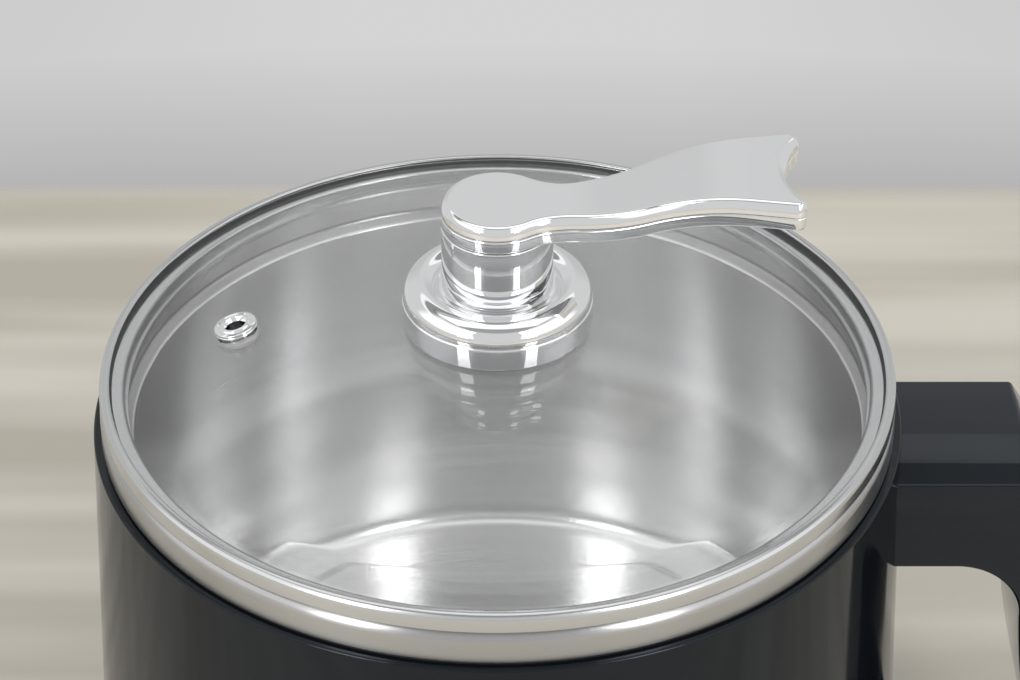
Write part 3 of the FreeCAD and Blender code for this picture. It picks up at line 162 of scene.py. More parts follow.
# %% [markdown]
# ## Shader sums as plain arithmetic
# A procedural finish is mostly arithmetic on a surface's position. Node by node that is hard to read,
# so the small class below wraps a socket: an expression such as `1 - mask * 0.3` adds the Math nodes
# by itself. Every other node comes from one method, which takes the node's type, its settings and
# what goes into its sockets.

# %% The wrapped socket and the finish that owns it


class Wire:
    """An output socket that can be used in sums."""

    def __init__(self, finish, socket):
        self.finish = finish
        self.socket = socket

    def maths(self, operation, *values):
        return self.finish.node("ShaderNodeMath", {"operation": operation}, dict(enumerate(values)))

    def __add__(self, other):
        return self.maths("ADD", self, other)

    def __radd__(self, other):
        return self.maths("ADD", other, self)

    def __sub__(self, other):
        return self.maths("SUBTRACT", self, other)

    def __rsub__(self, other):
        return self.maths("SUBTRACT", other, self)

    def __mul__(self, other):
        return self.maths("MULTIPLY", self, other)

    def __rmul__(self, other):
        return self.maths("MULTIPLY", other, self)

    def __pow__(self, other):
        return self.maths("POWER", self, other)


class Finish:
    """One material, or the room's light, and the nodes that it is made of."""

    def __init__(self, name, room=False):
        self.material = (bpy.data.worlds if room else bpy.data.materials).new(name)
        self.output = "ShaderNodeOutputWorld" if room else "ShaderNodeOutputMaterial"
        self.material.use_nodes = True
        self.tree = self.material.node_tree
        self.tree.nodes.clear()

    def node(self, kind, settings=None, inputs=None, out=0):
        """Add a node, set it up, fill its sockets and give back one output."""
        made = self.tree.nodes.new(kind)
        for name, value in (settings or {}).items():
            setattr(made, name, value)
        for name, value in (inputs or {}).items():
            socket = made.inputs[name]
            if isinstance(value, Wire):
                self.tree.links.new(value.socket, socket)
            else:
                socket.default_value = value
        return Wire(self, made.outputs[out])

    def place(self):
        """Position on the object, in metres; every piece here has its origin on the pot's axis."""
        return self.node("ShaderNodeTexCoord", out="Object")

    def stretch(self, vector, scale):
        return self.node("ShaderNodeVectorMath", {"operation": "MULTIPLY"}, {0: vector, 1: scale})

    def parts(self, vector):
        """The three numbers of a vector."""
        first = self.node("ShaderNodeSeparateXYZ", None, {0: vector})
        sockets = first.socket.node.outputs
        return first, Wire(self, sockets[1]), Wire(self, sockets[2])

    def join(self, x, y, z):
        return self.node("ShaderNodeCombineXYZ", None, {0: x, 1: y, 2: z})

    def noise(self, vector, scale, detail=2.0, rough=0.5):
        settings = {"Vector": vector, "Scale": scale, "Detail": detail, "Roughness": rough}
        return self.node("ShaderNodeTexNoise", None, settings)

    def fit(self, value, low, high, to_low, to_high):
        """Map a value from one span onto another and stop at its ends."""
        spans = {0: value, 1: low, 2: high, 3: to_low, 4: to_high}
        return self.node("ShaderNodeMapRange", {"clamp": True}, spans)

    def blend(self, share, one, other):
        """Mix two colours."""
        return self.node("ShaderNodeMix", {"data_type": "RGBA"}, {0: share, 6: one, 7: other}, out=2)

    def bump(self, height, strength, distance):
        settings = {"Strength": strength, "Distance": distance, "Height": height}
        return self.node("ShaderNodeBump", None, settings)

    def turned(self, round_scale, across_scale):
        """Position that is long round the axis and short across it, as turning marks are."""
        x, y, z = self.parts(self.place())
        radius = (x * x + y * y) ** 0.5
        angle = x.maths("ARCTAN2", y, x)
        return self.join(angle * round_scale, radius * across_scale, z * across_scale)

    def principled(self, values):
        return self.node("ShaderNodeBsdfPrincipled", None, values)

    def done(self, shader):
        output = self.tree.nodes.new(self.output)
        self.tree.links.new(shader.socket, output.inputs["Surface"])
        return self.material


def grey(level):
    return (level, level, level, 1.0)


print("ready to mix finishes")

# %% [markdown]
# ## Chrome
# The knob and the lever are zinc castings with a polished chrome plate. A mirror could be a plain
# glossy shader with no roughness. Real plate has a very faint film of wiping marks, which widens its
# reflections a little here and there, and the slow waviness that polishing leaves. So Principled gets
# both, as small changes of roughness and as a shallow bump.

# %% Chrome finish


def make_chrome():
    f = Finish("polished_chrome")
    place = f.place()
    film = f.noise(place, 60.0, 3.0)
    wipes = f.noise(f.stretch(place, (900.0, 140.0, 300.0)), 1.0, 2.0)
    rough = 0.03 + f.fit(film, 0.45, 0.75, 0.0, 0.03) + f.fit(wipes, 0.6, 0.8, 0.0, 0.015)
    wave = f.bump(f.noise(place, 90.0, 1.0), 0.1, 0.0002)
    return f.done(f.principled({
        "Base Color": (0.92, 0.925, 0.935, 1.0),
        "Metallic": 1.0,
        "Roughness": rough,
        "Normal": wave,
    }))


chrome = make_chrome()
print("made", chrome.name)

# %% [markdown]
# ## Steel: turned, brushed and satin
# The bowl is drawn from stainless sheet and brushed on a lathe, so its marks run round it. Such marks
# stretch every highlight across them: up and down on the wall, outwards on the floor. Principled's
# anisotropy does that on its own, and a quarter turn sets it along the right way. Real marks, finer
# than a hair, are added as bump and as small changes of roughness. The ledge, which lies under the
# lid's skirt, and the rolled rim under the lid's flange are painted greyer than the wall: painted shade
# between the lid and the bowl. The upper wall is painted a shade darker than the lower, as painted
# shade for a step in what the wall reflects. The lid's ring is rolled from the same steel and polished
# finer.

# %% Pot and ring finishes


def make_pot_steel():
    f = Finish("brushed_pot_steel")
    marks = f.noise(f.turned(1.5, 5200.0), 1.0, 3.0, 0.65)
    bands = f.noise(f.turned(0.6, 240.0), 1.0, 2.0)
    stains = f.noise(f.place(), 26.0, 4.0)
    rough = 0.25 + f.fit(marks, 0.3, 0.7, -0.012, 0.015) + f.fit(stains, 0.35, 0.7, -0.005, 0.015)
    x, y, z = f.parts(f.place())
    # painted shade: the wall above about 61 mm is darkened, for a step in what it reflects
    painted_upper_wall_shade = f.fit(z, 0.061, 0.0665, 0.0, 1.0)
    # painted shade: the ledge under the lid's skirt and the rolled rim under its flange are made greyer
    ledge = f.fit(z, 0.1315, 0.1318, 0.0, 1.0) * f.fit(z, 0.1334, 0.1339, 1.0, 0.0)
    rim = f.fit((x * x + y * y) ** 0.5, 0.086, 0.0885, 0.0, 1.0)
    tone = f.blend(f.fit(bands, 0.3, 0.7, 0.0, 1.0), grey(0.8), grey(0.85))
    tone = f.blend(painted_upper_wall_shade * 0.09, tone, grey(0.0))
    tone = f.blend(ledge, tone, (0.42, 0.42, 0.425, 1.0))
    tone = f.blend(rim, tone, grey(0.5))
    return f.done(f.principled({
        "Base Color": tone,
        "Metallic": 1.0,
        "Roughness": rough,
        "Anisotropic": 0.8,
        "Anisotropic Rotation": 0.25,
        "Normal": f.bump(marks, 0.03, 0.00003),
    }))


def make_ring_steel():
    f = Finish("satin_ring_steel")
    marks = f.noise(f.turned(4.0, 4200.0), 1.0, 2.0)
    handling = f.noise(f.place(), 45.0, 3.0)
    rough = 0.2 + f.fit(marks, 0.3, 0.7, -0.03, 0.03) + f.fit(handling, 0.4, 0.75, 0.0, 0.05)
    return f.done(f.principled({
        "Base Color": (0.64, 0.645, 0.65, 1.0),
        "Metallic": 1.0,
        "Roughness": rough,
        "Normal": f.bump(marks, 0.08, 0.00004),
    }))


pot_steel = make_pot_steel()
ring_steel = make_ring_steel()
print("made", pot_steel.name, "and", ring_steel.name)

# %% [markdown]
# ## Lid glass
# The lid is toughened glass, clear with a breath of green. A refracting shader alone would throw the
# pot's inside into a deep shadow, because lamps don't shine through it. So shadow rays see a
# transparent shader instead, and every other ray sees the glass.

# %% Glass finish


def make_lid_glass_finish():
    f = Finish("clear_lid_glass")
    glass = f.principled({
        "Base Color": (0.99, 0.994, 0.994, 1.0),
        "Roughness": 0.0,
        "IOR": 1.5,
        "Transmission Weight": 1.0,
    })
    clear = f.node("ShaderNodeBsdfTransparent", None, {"Color": (0.95, 0.955, 0.955, 1.0)})
    shadow = f.node("ShaderNodeLightPath", out="Is Shadow Ray")
    return f.done(f.node("ShaderNodeMixShader", None, {0: shadow, 1: glass, 2: clear}))


lid_glass_finish = make_lid_glass_finish()
print("made", lid_glass_finish.name)

# %% [markdown]
# ## Gloss mouldings
# The shell, the handle and the dial are injection-moulded in a near-black with some blue in it. Their
# gloss comes from the mould's polish. A coat layer could give it, but the plastic has no lacquer, so
# plain Principled with the right IOR is closer. A moulding shows a slow waviness, a little dust, the
# faintest cloudiness in its gloss and, on the tall shell, flow lines from the bottom to the top. The
# base, the rubber, the silicone and the ceramic have a fine grain in place of the gloss.

# %% Moulding finishes


def make_moulding(name, colour, rough, ior=1.43, flow_lines=0.0):
    f = Finish(name)
    place = f.place()
    x, y, z = f.parts(place)
    flow = f.noise(f.join(x.maths("ARCTAN2", y, x) * 15.0, 0.0, z * 4.0), 1.0, 1.0)
    waviness = f.noise(place, 55.0, 1.0)
    cloud = f.noise(place, 35.0, 3.0)
    dust = f.fit(f.noise(place, 1900.0, 1.0), 0.72, 0.8, 0.0, 1.0)
    return f.done(f.principled({
        "Base Color": f.blend(dust * 0.03, (*colour, 1.0), grey(0.35)),
        "Roughness": rough + f.fit(cloud, 0.35, 0.75, 0.0, 0.04) + dust * 0.1,
        "IOR": ior,
        "Specular Tint": (0.82, 0.9, 1.0, 1.0),
        "Normal": f.bump(waviness * 0.06 + flow * flow_lines, 1.0, 0.0003),
    }))


def make_textured(name, colour, rough, grain, depth):
    """A moulding or rubber with a fine spark-eroded grain."""
    f = Finish(name)
    place = f.place()
    texture = f.noise(place, grain, 2.0)
    worn = f.noise(place, 40.0, 3.0)
    pale = [c * 1.35 for c in colour]
    tone = f.blend(f.fit(worn, 0.35, 0.75, 0.0, 1.0), (*colour, 1.0), (*pale, 1.0))
    return f.done(f.principled({
        "Base Color": tone,
        "Roughness": rough + f.fit(texture, 0.3, 0.7, -0.06, 0.06),
        "Normal": f.bump(texture, 0.5, depth),
    }))


before = len(bpy.data.materials)
shell_gloss = make_moulding("shell_gloss", (0.0052, 0.0066, 0.0084), 0.07, ior=1.385, flow_lines=0.35)
handle_gloss = make_moulding("handle_gloss", (0.0085, 0.011, 0.014), 0.07)
dial_gloss = make_moulding("dial_gloss", (0.012, 0.0145, 0.018), 0.16)
base_plastic = make_textured("base_plastic", (0.022, 0.023, 0.026), 0.52, 1500.0, 0.00015)
silicone = make_textured("black_silicone", (0.016, 0.016, 0.017), 0.6, 2600.0, 0.00005)
clear_silicone = make_textured("milky_silicone", (0.42, 0.42, 0.41), 0.35, 2600.0, 0.00003)
foot_rubber = make_textured("foot_rubber", (0.03, 0.03, 0.03), 0.78, 1800.0, 0.0001)
ceramic = make_textured("white_ceramic", (0.66, 0.64, 0.6), 0.55, 2200.0, 0.00005)
print("made", len(bpy.data.materials) - before, "mouldings and rubbers")

# %% [markdown]
# ## Plain metals inside the base
# Nobody sees these until the base comes off, but each still has its own finish: cast aluminium is
# pale and grainy, zinc plate has a bluish bloom, the heating element's sheath is tinted by heat, and
# the inlet's pins are brass. One recipe does for all four: two tones in slow patches, and a fine
# grain that is both roughness and bump.

# %% Small metals


def make_metal(name, dark, light, rough, grain, depth):
    f = Finish(name)
    place = f.place()
    spots = f.noise(place, grain, 3.0)
    bloom = f.noise(place, 70.0, 3.0)
    tone = f.blend(f.fit(bloom, 0.3, 0.7, 0.0, 1.0), (*dark, 1.0), (*light, 1.0))
    return f.done(f.principled({
        "Base Color": tone,
        "Metallic": 1.0,
        "Roughness": rough + f.fit(spots, 0.3, 0.7, -0.05, 0.08),
        "Normal": f.bump(spots, 0.3, depth),
    }))


zinc = make_metal("zinc_plate", (0.6, 0.61, 0.64), (0.7, 0.7, 0.71), 0.28, 900.0, 0.00004)
aluminium = make_metal("cast_aluminium", (0.68, 0.68, 0.68), (0.8, 0.8, 0.79), 0.38, 700.0, 0.00015)
element_steel = make_metal("tinted_sheath", (0.3, 0.25, 0.2), (0.5, 0.46, 0.42), 0.35, 600.0, 0.00005)
brass = make_metal("pin_brass", (0.72, 0.55, 0.26), (0.82, 0.66, 0.36), 0.22, 800.0, 0.00003)
print("made four metals")

# %% [markdown]
# ## Indicator lens, its lamp and the dial's plate
# The lens is a drop of clear red plastic, and the lamp behind it is a small glass bulb. Both let some
# light through, which Transmission Weight does. The plate behind the dial is brushed straight across,
# so its noise is stretched: long one way and short the other.

# %% Lens, lamp and plate finishes


def make_clear(name, colour, rough):
    f = Finish(name)
    haze = f.noise(f.place(), 400.0, 2.0)
    return f.done(f.principled({
        "Base Color": (*colour, 1.0),
        "Roughness": rough + f.fit(haze, 0.4, 0.8, 0.0, 0.05),
        "IOR": 1.49,
        "Transmission Weight": 0.75,
    }))


def make_plate_steel():
    f = Finish("brushed_plate")
    marks = f.noise(f.stretch(f.place(), (60.0, 200.0, 6000.0)), 1.0, 3.0, 0.6)
    return f.done(f.principled({
        "Base Color": f.blend(marks, (0.52, 0.52, 0.53, 1.0), (0.68, 0.68, 0.68, 1.0)),
        "Metallic": 1.0,
        "Roughness": 0.26 + f.fit(marks, 0.3, 0.7, -0.05, 0.08),
        "Normal": f.bump(marks, 0.3, 0.00005),
    }))


red_lens = make_clear("red_lens", (0.75, 0.035, 0.02), 0.06)
lamp_glass = make_clear("lamp_glass", (0.85, 0.84, 0.8), 0.03)
plate_steel = make_plate_steel()
print("made", red_lens.name, lamp_glass.name, plate_steel.name)

# %% [markdown]
# ## Dressing the solids that stay
# Most of the small parts already have their real shape in the CAD model. They could be drawn again
# with finer edges, but nobody would see it. They stay as they are and only get a finish, which goes
# into their material slots.

# %% Give the kept solids their finishes


def dress(finish, *names):
    for name in names:
        for slot in nodes[name].material_slots:
            slot.material = finish


dress(zinc, "weld_studs", "stud_washers", "stud_nuts", "heat_shield", "shield_screws", "base_screws",
      "handle_screws", "switch_nut", "dial_shaft", "inlet_screws", "lid_washer", "lid_screw",
      "pivot_washer", "pivot_screw")
dress(aluminium, "heating_plate", "fuse_clamp")
dress(element_steel, "heating_element")
dress(ceramic, "thermostat", "thermal_fuse", "terminal_block")
dress(base_plastic, "base_cover", "control_switch", "inlet_socket")
dress(silicone, "rim_gasket", "knob_seal", "lid_seal")
dress(clear_silicone, "vent_grommet")
dress(foot_rubber, "rubber_feet")
dress(brass, "inlet_pins")
dress(plate_steel, "dial_plate")
dress(dial_gloss, "control_dial")
dress(red_lens, "indicator_lens")
dress(lamp_glass, "indicator_lamp")
print("dressed the solids that stay")

# %% [markdown]
# ## Shell
# The shell is a tapering moulding with a narrow rounded top edge under the pot's rim. Spun in 480
# steps it mirrors the room without facets. A Boolean could cut the opening for the mains inlet. It is
# simpler to leave out the faces behind the inlet's flange, which covers their edge.

# %% Turn the shell


def finish_piece(made, body, finish, slot, *stands_for):
    """Give a new piece its material, its body and the solid that it stands for."""
    made.data.materials.clear()
    made.data.materials.append(finish)
    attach(made, body)
    if stands_for:
        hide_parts(*stands_for)


def cut_window(made, low, high):
    """Leave out the faces whose middle lies in a box, in millimetres."""
    mesh = made.data
    keep, points = [], [v.co / MM for v in mesh.vertices]
    for polygon in mesh.polygons:
        middle = sum((points[v] for v in polygon.vertices), Vector()) / len(polygon.vertices)
        if not all(low[k] < middle[k] < high[k] for k in range(3)):
            keep.append(tuple(polygon.vertices))
    name = made.name
    bpy.data.objects.remove(made)
    bpy.data.meshes.remove(mesh)
    return piece(name, points, keep)


FOOT_RADIUS, FOOT_HEIGHT = 97.0, 5.0
TOP_RADIUS, TOP_HEIGHT = 92.0, 135.2
shell_section = rounded([
    (94.4, FOOT_HEIGHT), (FOOT_RADIUS, FOOT_HEIGHT, 0.4), (96.64, 14.5), (95.9, 33.5),
    (TOP_RADIUS, TOP_HEIGHT, 0.6), (86.2, TOP_HEIGHT, 0.3), (86.2, 132.2),
    (89.5, 132.2), (93.3, 33.5), (94.04, 14.5),
])
shell = lathe("gloss_shell", shell_section, 480)
shell = cut_window(shell, (-13.4, 80.0, 14.6), (13.4, 110.0, 33.4))
finish_piece(shell, "pot", shell_gloss, "shell", "outer_shell")
print("shell:", len(shell.data.vertices), "points")

# %% [markdown]
# ## Seats on the shell
# A round seat stands a millimetre proud of the shell's front and carries the dial's plate, and a flat
# pad at the back carries the mains inlet. Both are flats on a round wall. They could be joined to it
# with a Boolean, but sides that simply die away into the wall look the same and keep it smooth. A
# chrome bezel holds the red lens above the dial.

# %% Round seat and lens bezel
DIAL_HEIGHT, LENS_HEIGHT = 27.5, 53.5
TO_FRONT = Matrix.Rotation(math.pi / 2, 4, "X")


def at_front(made, depth, height):
    """Lay a turned piece on its side, with its top towards the front."""
    made.matrix_world = Matrix.Translation((0.0, -depth * MM, height * MM)) @ TO_FRONT
    return made


seat_section = rounded([(0.0, -4.6), (19.0, -4.6), (19.0, 0.0, 0.7), (0.0, 0.0)])
seat = lathe("dial_seat", seat_section, 180)
finish_piece(at_front(seat, 97.04, DIAL_HEIGHT), "pot", shell_gloss, "shell")
bezel_section = rounded([(3.02, -1.2), (4.3, -1.2), (4.3, 0.35, 0.5), (3.02, 0.35, 0.2)], step=15.0)
bezel = lathe("lens_bezel", bezel_section, 96)
finish_piece(at_front(bezel, 95.15, LENS_HEIGHT), "pot", chrome, "chrome")
print("round seat and bezel in place")

# %% [markdown]
# ## Pad of the mains inlet
# The pad is a frame with rounded corners round the inlet. A cube with a bevel would need a window cut
# into it. Two outlines with equally many points, one round the other, give the frame at once.

# %% Make the pad


def pad_ring(name, outer, inner, low, high):
    """A flat pad with a window, from two outlines with equally many (x, z) points."""
    count = len(outer)
    points = [(x, y, z) for y in (low, high) for line in (outer, inner) for x, z in line]
    faces = []
    for j in range(count):
        k = (j + 1) % count
        for a, b in ((0, count), (count, 3 * count), (3 * count, 2 * count), (2 * count, 0)):
            faces.append((a + j, a + k, b + k, b + j))
    return piece(name, points, faces)


def oblong(width, height, middle, radius):
    x, z = width / 2, height / 2
    return rounded([(-x, middle - z, radius), (x, middle - z, radius), (x, middle + z, radius),
                    (-x, middle + z, radius)], step=15.0)


INLET_HEIGHT = 24.0
pad_edge = oblong(43.0, 26.0, INLET_HEIGHT, 3.0)
pad_window = oblong(27.4, 19.8, INLET_HEIGHT, 1.0)
pad = pad_ring("inlet_pad", pad_edge, pad_window, 92.5, 97.44)
finish_piece(pad, "pot", shell_gloss, "shell")
print("inlet pad:", len(pad.data.vertices), "points")

# %% [markdown]
# ## Dial
# The dial's plate has a printed scale: five numbers, and short strokes between them. A texture could
# carry the print, but shapes stay sharp at any size. Text objects make the numbers, and the strokes
# are thin raised bars. A white bar fills the dial's pointer groove.

# %% Print the scale and fill the pointer
print_black = make_textured("scale_print", (0.012, 0.012, 0.013), 0.45, 3000.0, 0.00001)
print_white = make_textured("pointer_white", (0.78, 0.78, 0.76), 0.4, 2500.0, 0.00001)


def bars(name, places, width, length, low, high):
    """Thin bars that point away from the dial's axis, at (angle, radius) from straight up."""
    points, faces = [], []
    for angle, radius in places:
        c, s = math.cos(angle), math.sin(angle)
        for y in (low, high):
            for across, out in ((-1, 0), (1, 0), (1, 1), (-1, 1)):
                r, a = radius + out * length, across * width / 2
                points.append((s * r + c * a, -y, DIAL_HEIGHT + c * r - s * a))
        first = len(points) - 8
        for side in ((0, 1, 2, 3), (7, 6, 5, 4), (0, 4, 5, 1), (1, 5, 6, 2), (2, 6, 7, 3), (3, 7, 4, 0)):
            faces.append(tuple(first + corner for corner in side))
    return piece(name, points, faces)


DIAL_TURN, NUMBERS, STEPS_BETWEEN, NUMBER_RADIUS = 270.0, 5, 5, 16.75
steps = (NUMBERS - 1) * STEPS_BETWEEN
strokes = [(math.radians(DIAL_TURN * k / steps), 16.0) for k in range(steps) if k % STEPS_BETWEEN]
scale = bars("scale_strokes", strokes, 0.28, 1.3, 98.2, 98.29)
finish_piece(scale, "pot", print_black, "plate")
pointer = bars("dial_pointer_bar", [(0.0, 3.4)], 0.9, 9.2, 112.8, 113.5)
finish_piece(pointer, "dial", print_white, "dial")
at_scale = Matrix.Translation((0.0, -98.25 * MM, DIAL_HEIGHT * MM)) @ TO_FRONT
for k in range(NUMBERS):
    letter = bpy.data.curves.new("scale_number_%d" % k, "FONT")
    letter.body = str(k)
    letter.size, letter.extrude = 0.0029, 0.00004
    letter.align_x, letter.align_y = "CENTER", "CENTER"
    number = bpy.data.objects.new("scale_number_%d" % k, letter)
    bpy.context.scene.collection.objects.link(number)
    turn = math.radians(DIAL_TURN * k / (NUMBERS - 1))
    across, up = NUMBER_RADIUS * math.sin(turn), NUMBER_RADIUS * math.cos(turn)
    number.matrix_world = Matrix.Translation((across * MM, 0.0, up * MM)) @ at_scale
    finish_piece(number, "pot", print_black, "plate")
print("scale:", len(strokes), "strokes and", NUMBERS, "numbers")

# %% [markdown]
# ## Bowl
# The bowl is one sheet of steel: a raised middle over the heater, a flat ring, a bend, the wall, a
# sloping ledge, the wider mouth and the rolled rim. A Solidify modifier could thicken a single line.
# Here the section is drawn twice, once inside and once a sheet's thickness outside, so that each
# rounding is right on both sides.

# %% Turn the bowl
bowl_section = rounded([
    (0.0, 39.3), (62.6, 39.3, 3.0), (66.2, 38.3, 3.0), (83.0, 38.3, 4.4), (83.0, 131.3, 0.6),
    (85.2, 132.9, 1.0), (85.2, 143.3, 1.8), (90.2, 143.3, 2.6), (90.2, 135.8, 0.25),
    (89.6, 135.8, 0.25), (89.6, 142.7, 2.0), (85.8, 142.7, 1.2), (85.8, 132.7, 1.0), (83.6, 131.1, 1.0),
    (83.6, 37.7, 5.0), (65.9, 37.7, 3.0), (62.4, 38.6, 3.0), (0.0, 38.6),
], step=6.0)
bowl = lathe("brushed_bowl", bowl_section, 480)
finish_piece(bowl, "pot", pot_steel, "pot_steel", "inner_pot")
print("bowl:", len(bowl.data.vertices), "points")

# %% [markdown]
# ## Lid ring
# The ring is rolled from thin sheet: a lip over the glass, an upright band, a flange that rests on
# the rim, and a skirt that drops into the mouth. One section holds all of them, because on the real
# ring they are one strip of steel.

# %% Turn the ring
ring_section = rounded([
    (87.4, 147.4, 0.15), (88.05, 148.0, 0.8), (90.0, 148.0, 1.6), (90.0, 143.3, 0.8), (84.6, 143.3, 0.6),
    (84.6, 138.1, 0.4), (83.7, 138.1, 0.4), (83.7, 139.7), (84.15, 139.7), (84.15, 143.75, 1.0),
    (89.55, 143.75, 0.4), (89.55, 147.55, 0.9),
], step=8.0)
ring = lathe("steel_lid_ring", ring_section, 480)
finish_piece(ring, "lid", ring_steel, "ring", "lid_ring")
print("ring:", len(ring.data.vertices), "points")

# %% [markdown]
# ## Glass dome
# The glass is flat where the ring holds it and domed inside, with a soft hollow between. Two arcs
# that meet smoothly make each of its sides. The hole for the steam vent is drilled square to the dome
# with a Boolean, because it lies off the axis.

# %% Turn the glass and drill it
DOME_TOP, DOME_RADIUS, HOLLOW_RADIUS = 160.75, 260.0, 34.6
FLAT_RADIUS, FLAT_HEIGHT, GLASS_THICKNESS = 87.2, 147.55, 3.8


def dome_height(radius, drop=0.0):
    """Height of the dome's outside, or of its inside with the glass's thickness as the drop."""
    return DOME_TOP - DOME_RADIUS + math.sqrt(DOME_RADIUS ** 2 - radius ** 2) - drop


def dome_outline(drop):
    """The dome from its middle to its flat edge."""
    meet = FLAT_RADIUS * DOME_RADIUS / (DOME_RADIUS + HOLLOW_RADIUS)
    crown = [(radius, dome_height(radius, drop)) for radius in np.linspace(0.0, meet, 41)]
    return crown + arc(crown[-1], (FLAT_RADIUS, FLAT_HEIGHT - drop), HOLLOW_RADIUS)


glass_edge = [(89.1, 147.55), (89.4, 147.25), (89.4, 144.05), (89.1, 143.75)]
glass_section = [*dome_outline(0.0), *glass_edge, *dome_outline(GLASS_THICKNESS)[::-1]]
glass = lathe("domed_glass", glass_section)

VENT_OFFSET, VENT_BEARING = 59.5, 175.3
lean = math.asin(VENT_OFFSET / DOME_RADIUS)
vent_place = (Matrix.Rotation(math.radians(VENT_BEARING), 4, "Z")
              @ Matrix.Translation((VENT_OFFSET * MM, 0.0, dome_height(VENT_OFFSET) * MM))
              @ Matrix.Rotation(lean, 4, "Y"))
drill = lathe("vent_drill", [(0.0, -8.0), (4.0, -8.0), (4.0, 8.0), (0.0, 8.0)], 96)
drill.matrix_world = vent_place
cut = glass.modifiers.new("drill", "BOOLEAN")
cut.operation = "DIFFERENCE"
cut.solver = "EXACT"
cut.object = drill
bpy.context.view_layer.update()
drilled = bpy.data.meshes.new_from_object(glass.evaluated_get(bpy.context.evaluated_depsgraph_get()))
glass.modifiers.clear()
glass.data = drilled
bpy.data.objects.remove(drill)
finish_piece(glass, "lid", lid_glass_finish, "glass", "lid_glass")
print("glass:", len(glass.data.vertices), "points")

# %% [markdown]
# ## Steam vent
# A steel eyelet is pressed through a silicone grommet in the glass. Its flange is rolled twice, so a
# groove runs round it, and its hole is a small funnel. It is turned upright like everything else and
# then moved to its place on the sloping glass.

# %% Turn the eyelet
eyelet_section = rounded([
    (2.15, -5.5), (4.25, -5.5, 0.3), (4.25, -4.6), (3.0, -4.6), (3.0, 0.05),
    (5.05, 0.05, 0.12), (5.05, 0.42, 0.18), (4.8, 0.48, 0.1), (4.95, 0.62, 0.1),
    (4.9, 1.05, 0.25), (4.2, 1.22, 0.3), (3.75, 1.0, 0.2), (3.45, 1.42, 0.3),
    (2.75, 1.5, 0.45), (2.15, 0.5, 0.6),
], step=10.0)
eyelet = lathe("vent_eyelet_rolled", eyelet_section, 128)
eyelet.matrix_world = vent_place
finish_piece(eyelet, "lid", chrome, "ring", "vent_eyelet")
print("eyelet:", len(eyelet.data.vertices), "points")

# %% [markdown]
# ## Knob
# The knob is turned in two pieces. The foot has a low band, a crease and a round shoulder that slopes
# up to the neck, and it is hollow underneath to fit the dome. The post stands on the neck. Thin seams
# show where the pieces meet, so the corners there get a small radius: on chrome a sharp corner would
# have no highlight at all.

# %% Turn the foot and the post
POST_RADIUS, NECK_FOOT, NECK_TOP, POST_TOP = 12.4, 168.72, 172.38, 185.03
hollow_start = (2.5, dome_height(2.5) + 0.6)
hollow = [hollow_start, *arc(hollow_start, (21.1, 160.5), -260.6, 20)]
band = rounded([(21.1, 160.5), (21.4, 160.8, 0.2), (21.4, 165.85, 0.3), (21.1, 166.12)],
               closed=False, step=20.0)
shoulder = [(21.18, 166.2), *arc((21.18, 166.2), (13.3, 168.95), 4.25, 30)]
neck = rounded([
    (13.3, 168.95), (13.05, NECK_FOOT, 0.2), (POST_RADIUS, NECK_FOOT, 0.25),
    (POST_RADIUS, NECK_TOP, 0.25), (7.95, NECK_TOP), (7.95, 174.98), (2.5, 174.98),
], closed=False, step=20.0)[1:]
foot = lathe("knob_foot_turned", [*hollow, *band, *shoulder, *neck])
finish_piece(foot, "lid", chrome, "chrome", "knob_foot")
post_section = rounded([
    (8.0, NECK_TOP), (POST_RADIUS, NECK_TOP, 0.28), (POST_RADIUS, POST_TOP, 0.28),
    (5.05, POST_TOP), (5.05, 179.03), (8.0, 179.03),
])
post = lathe("knob_post_turned", post_section)
finish_piece(post, "lid", chrome, "chrome", "knob_post")
print("knob:", len(foot.data.vertices) + len(post.data.vertices), "points")

# %% [markdown]
# ## Handle
# The handle is a loop seen from the side and a rounded bar across: two arms and a grip, closed
# outside by a crowned cover. An extruded curve would give it flat sides and a flat top. So its side
# outline is drawn once, and copies of it at different distances from the middle, each drawn in a
# little where an edge is round, are joined into a skin.

# %% Draw the handle from the side


def sideways(path):
    """Unit vectors to the left of a path at each of its points."""
    along = np.gradient(path, axis=0)
    along /= np.linalg.norm(along, axis=1)[:, None]
    return np.stack((-along[:, 1], along[:, 0]), axis=1)


HANDLE_TOP, HANDLE_FOOT, ARM_UNDER, ARM_OVER = 128.4, 15.6, 104.4, 29.5
back_arc = arc((121.1, HANDLE_TOP), (145.4, 37.0), -183.9, 44)
top_corner = rounded([(106.0, HANDLE_TOP), (120.6, HANDLE_TOP, 1.6), back_arc[3]], closed=False, step=6.0)
outer_line = np.array([
    (90.0, HANDLE_TOP), (98.0, HANDLE_TOP), *top_corner[:-1], *back_arc[3:],
    *arc((145.4, 37.0), (124.0, HANDLE_FOOT), -21.4, 24), (104.0, HANDLE_FOOT), (94.0, HANDLE_FOOT),
])
inner_line = np.array([
    (94.0, ARM_OVER), (104.0, ARM_OVER), (122.5, ARM_OVER), *arc((122.5, ARM_OVER), (130.0, 37.0), 7.5, 14),
    *arc((130.0, 37.0), (120.8, 88.9), -260.0, 24), *arc((120.8, 88.9), (105.3, ARM_UNDER), 15.5, 20),
    (98.0, ARM_UNDER), (90.0, ARM_UNDER),
])
side_line = np.concatenate((outer_line, inner_line))
print("handle outline:", len(side_line), "points")

# %% [markdown]
# ## Skin of the handle
# Every copy of the outline has three numbers: its distance from the middle, how far it is drawn in all
# round, and how far its top is lowered. The top is flat in the middle, slopes gently to either side,
# more steeply near the edges, and ends in a small rounding. Where the arms meet the shell, every copy
# stops inside the shell's own wall.

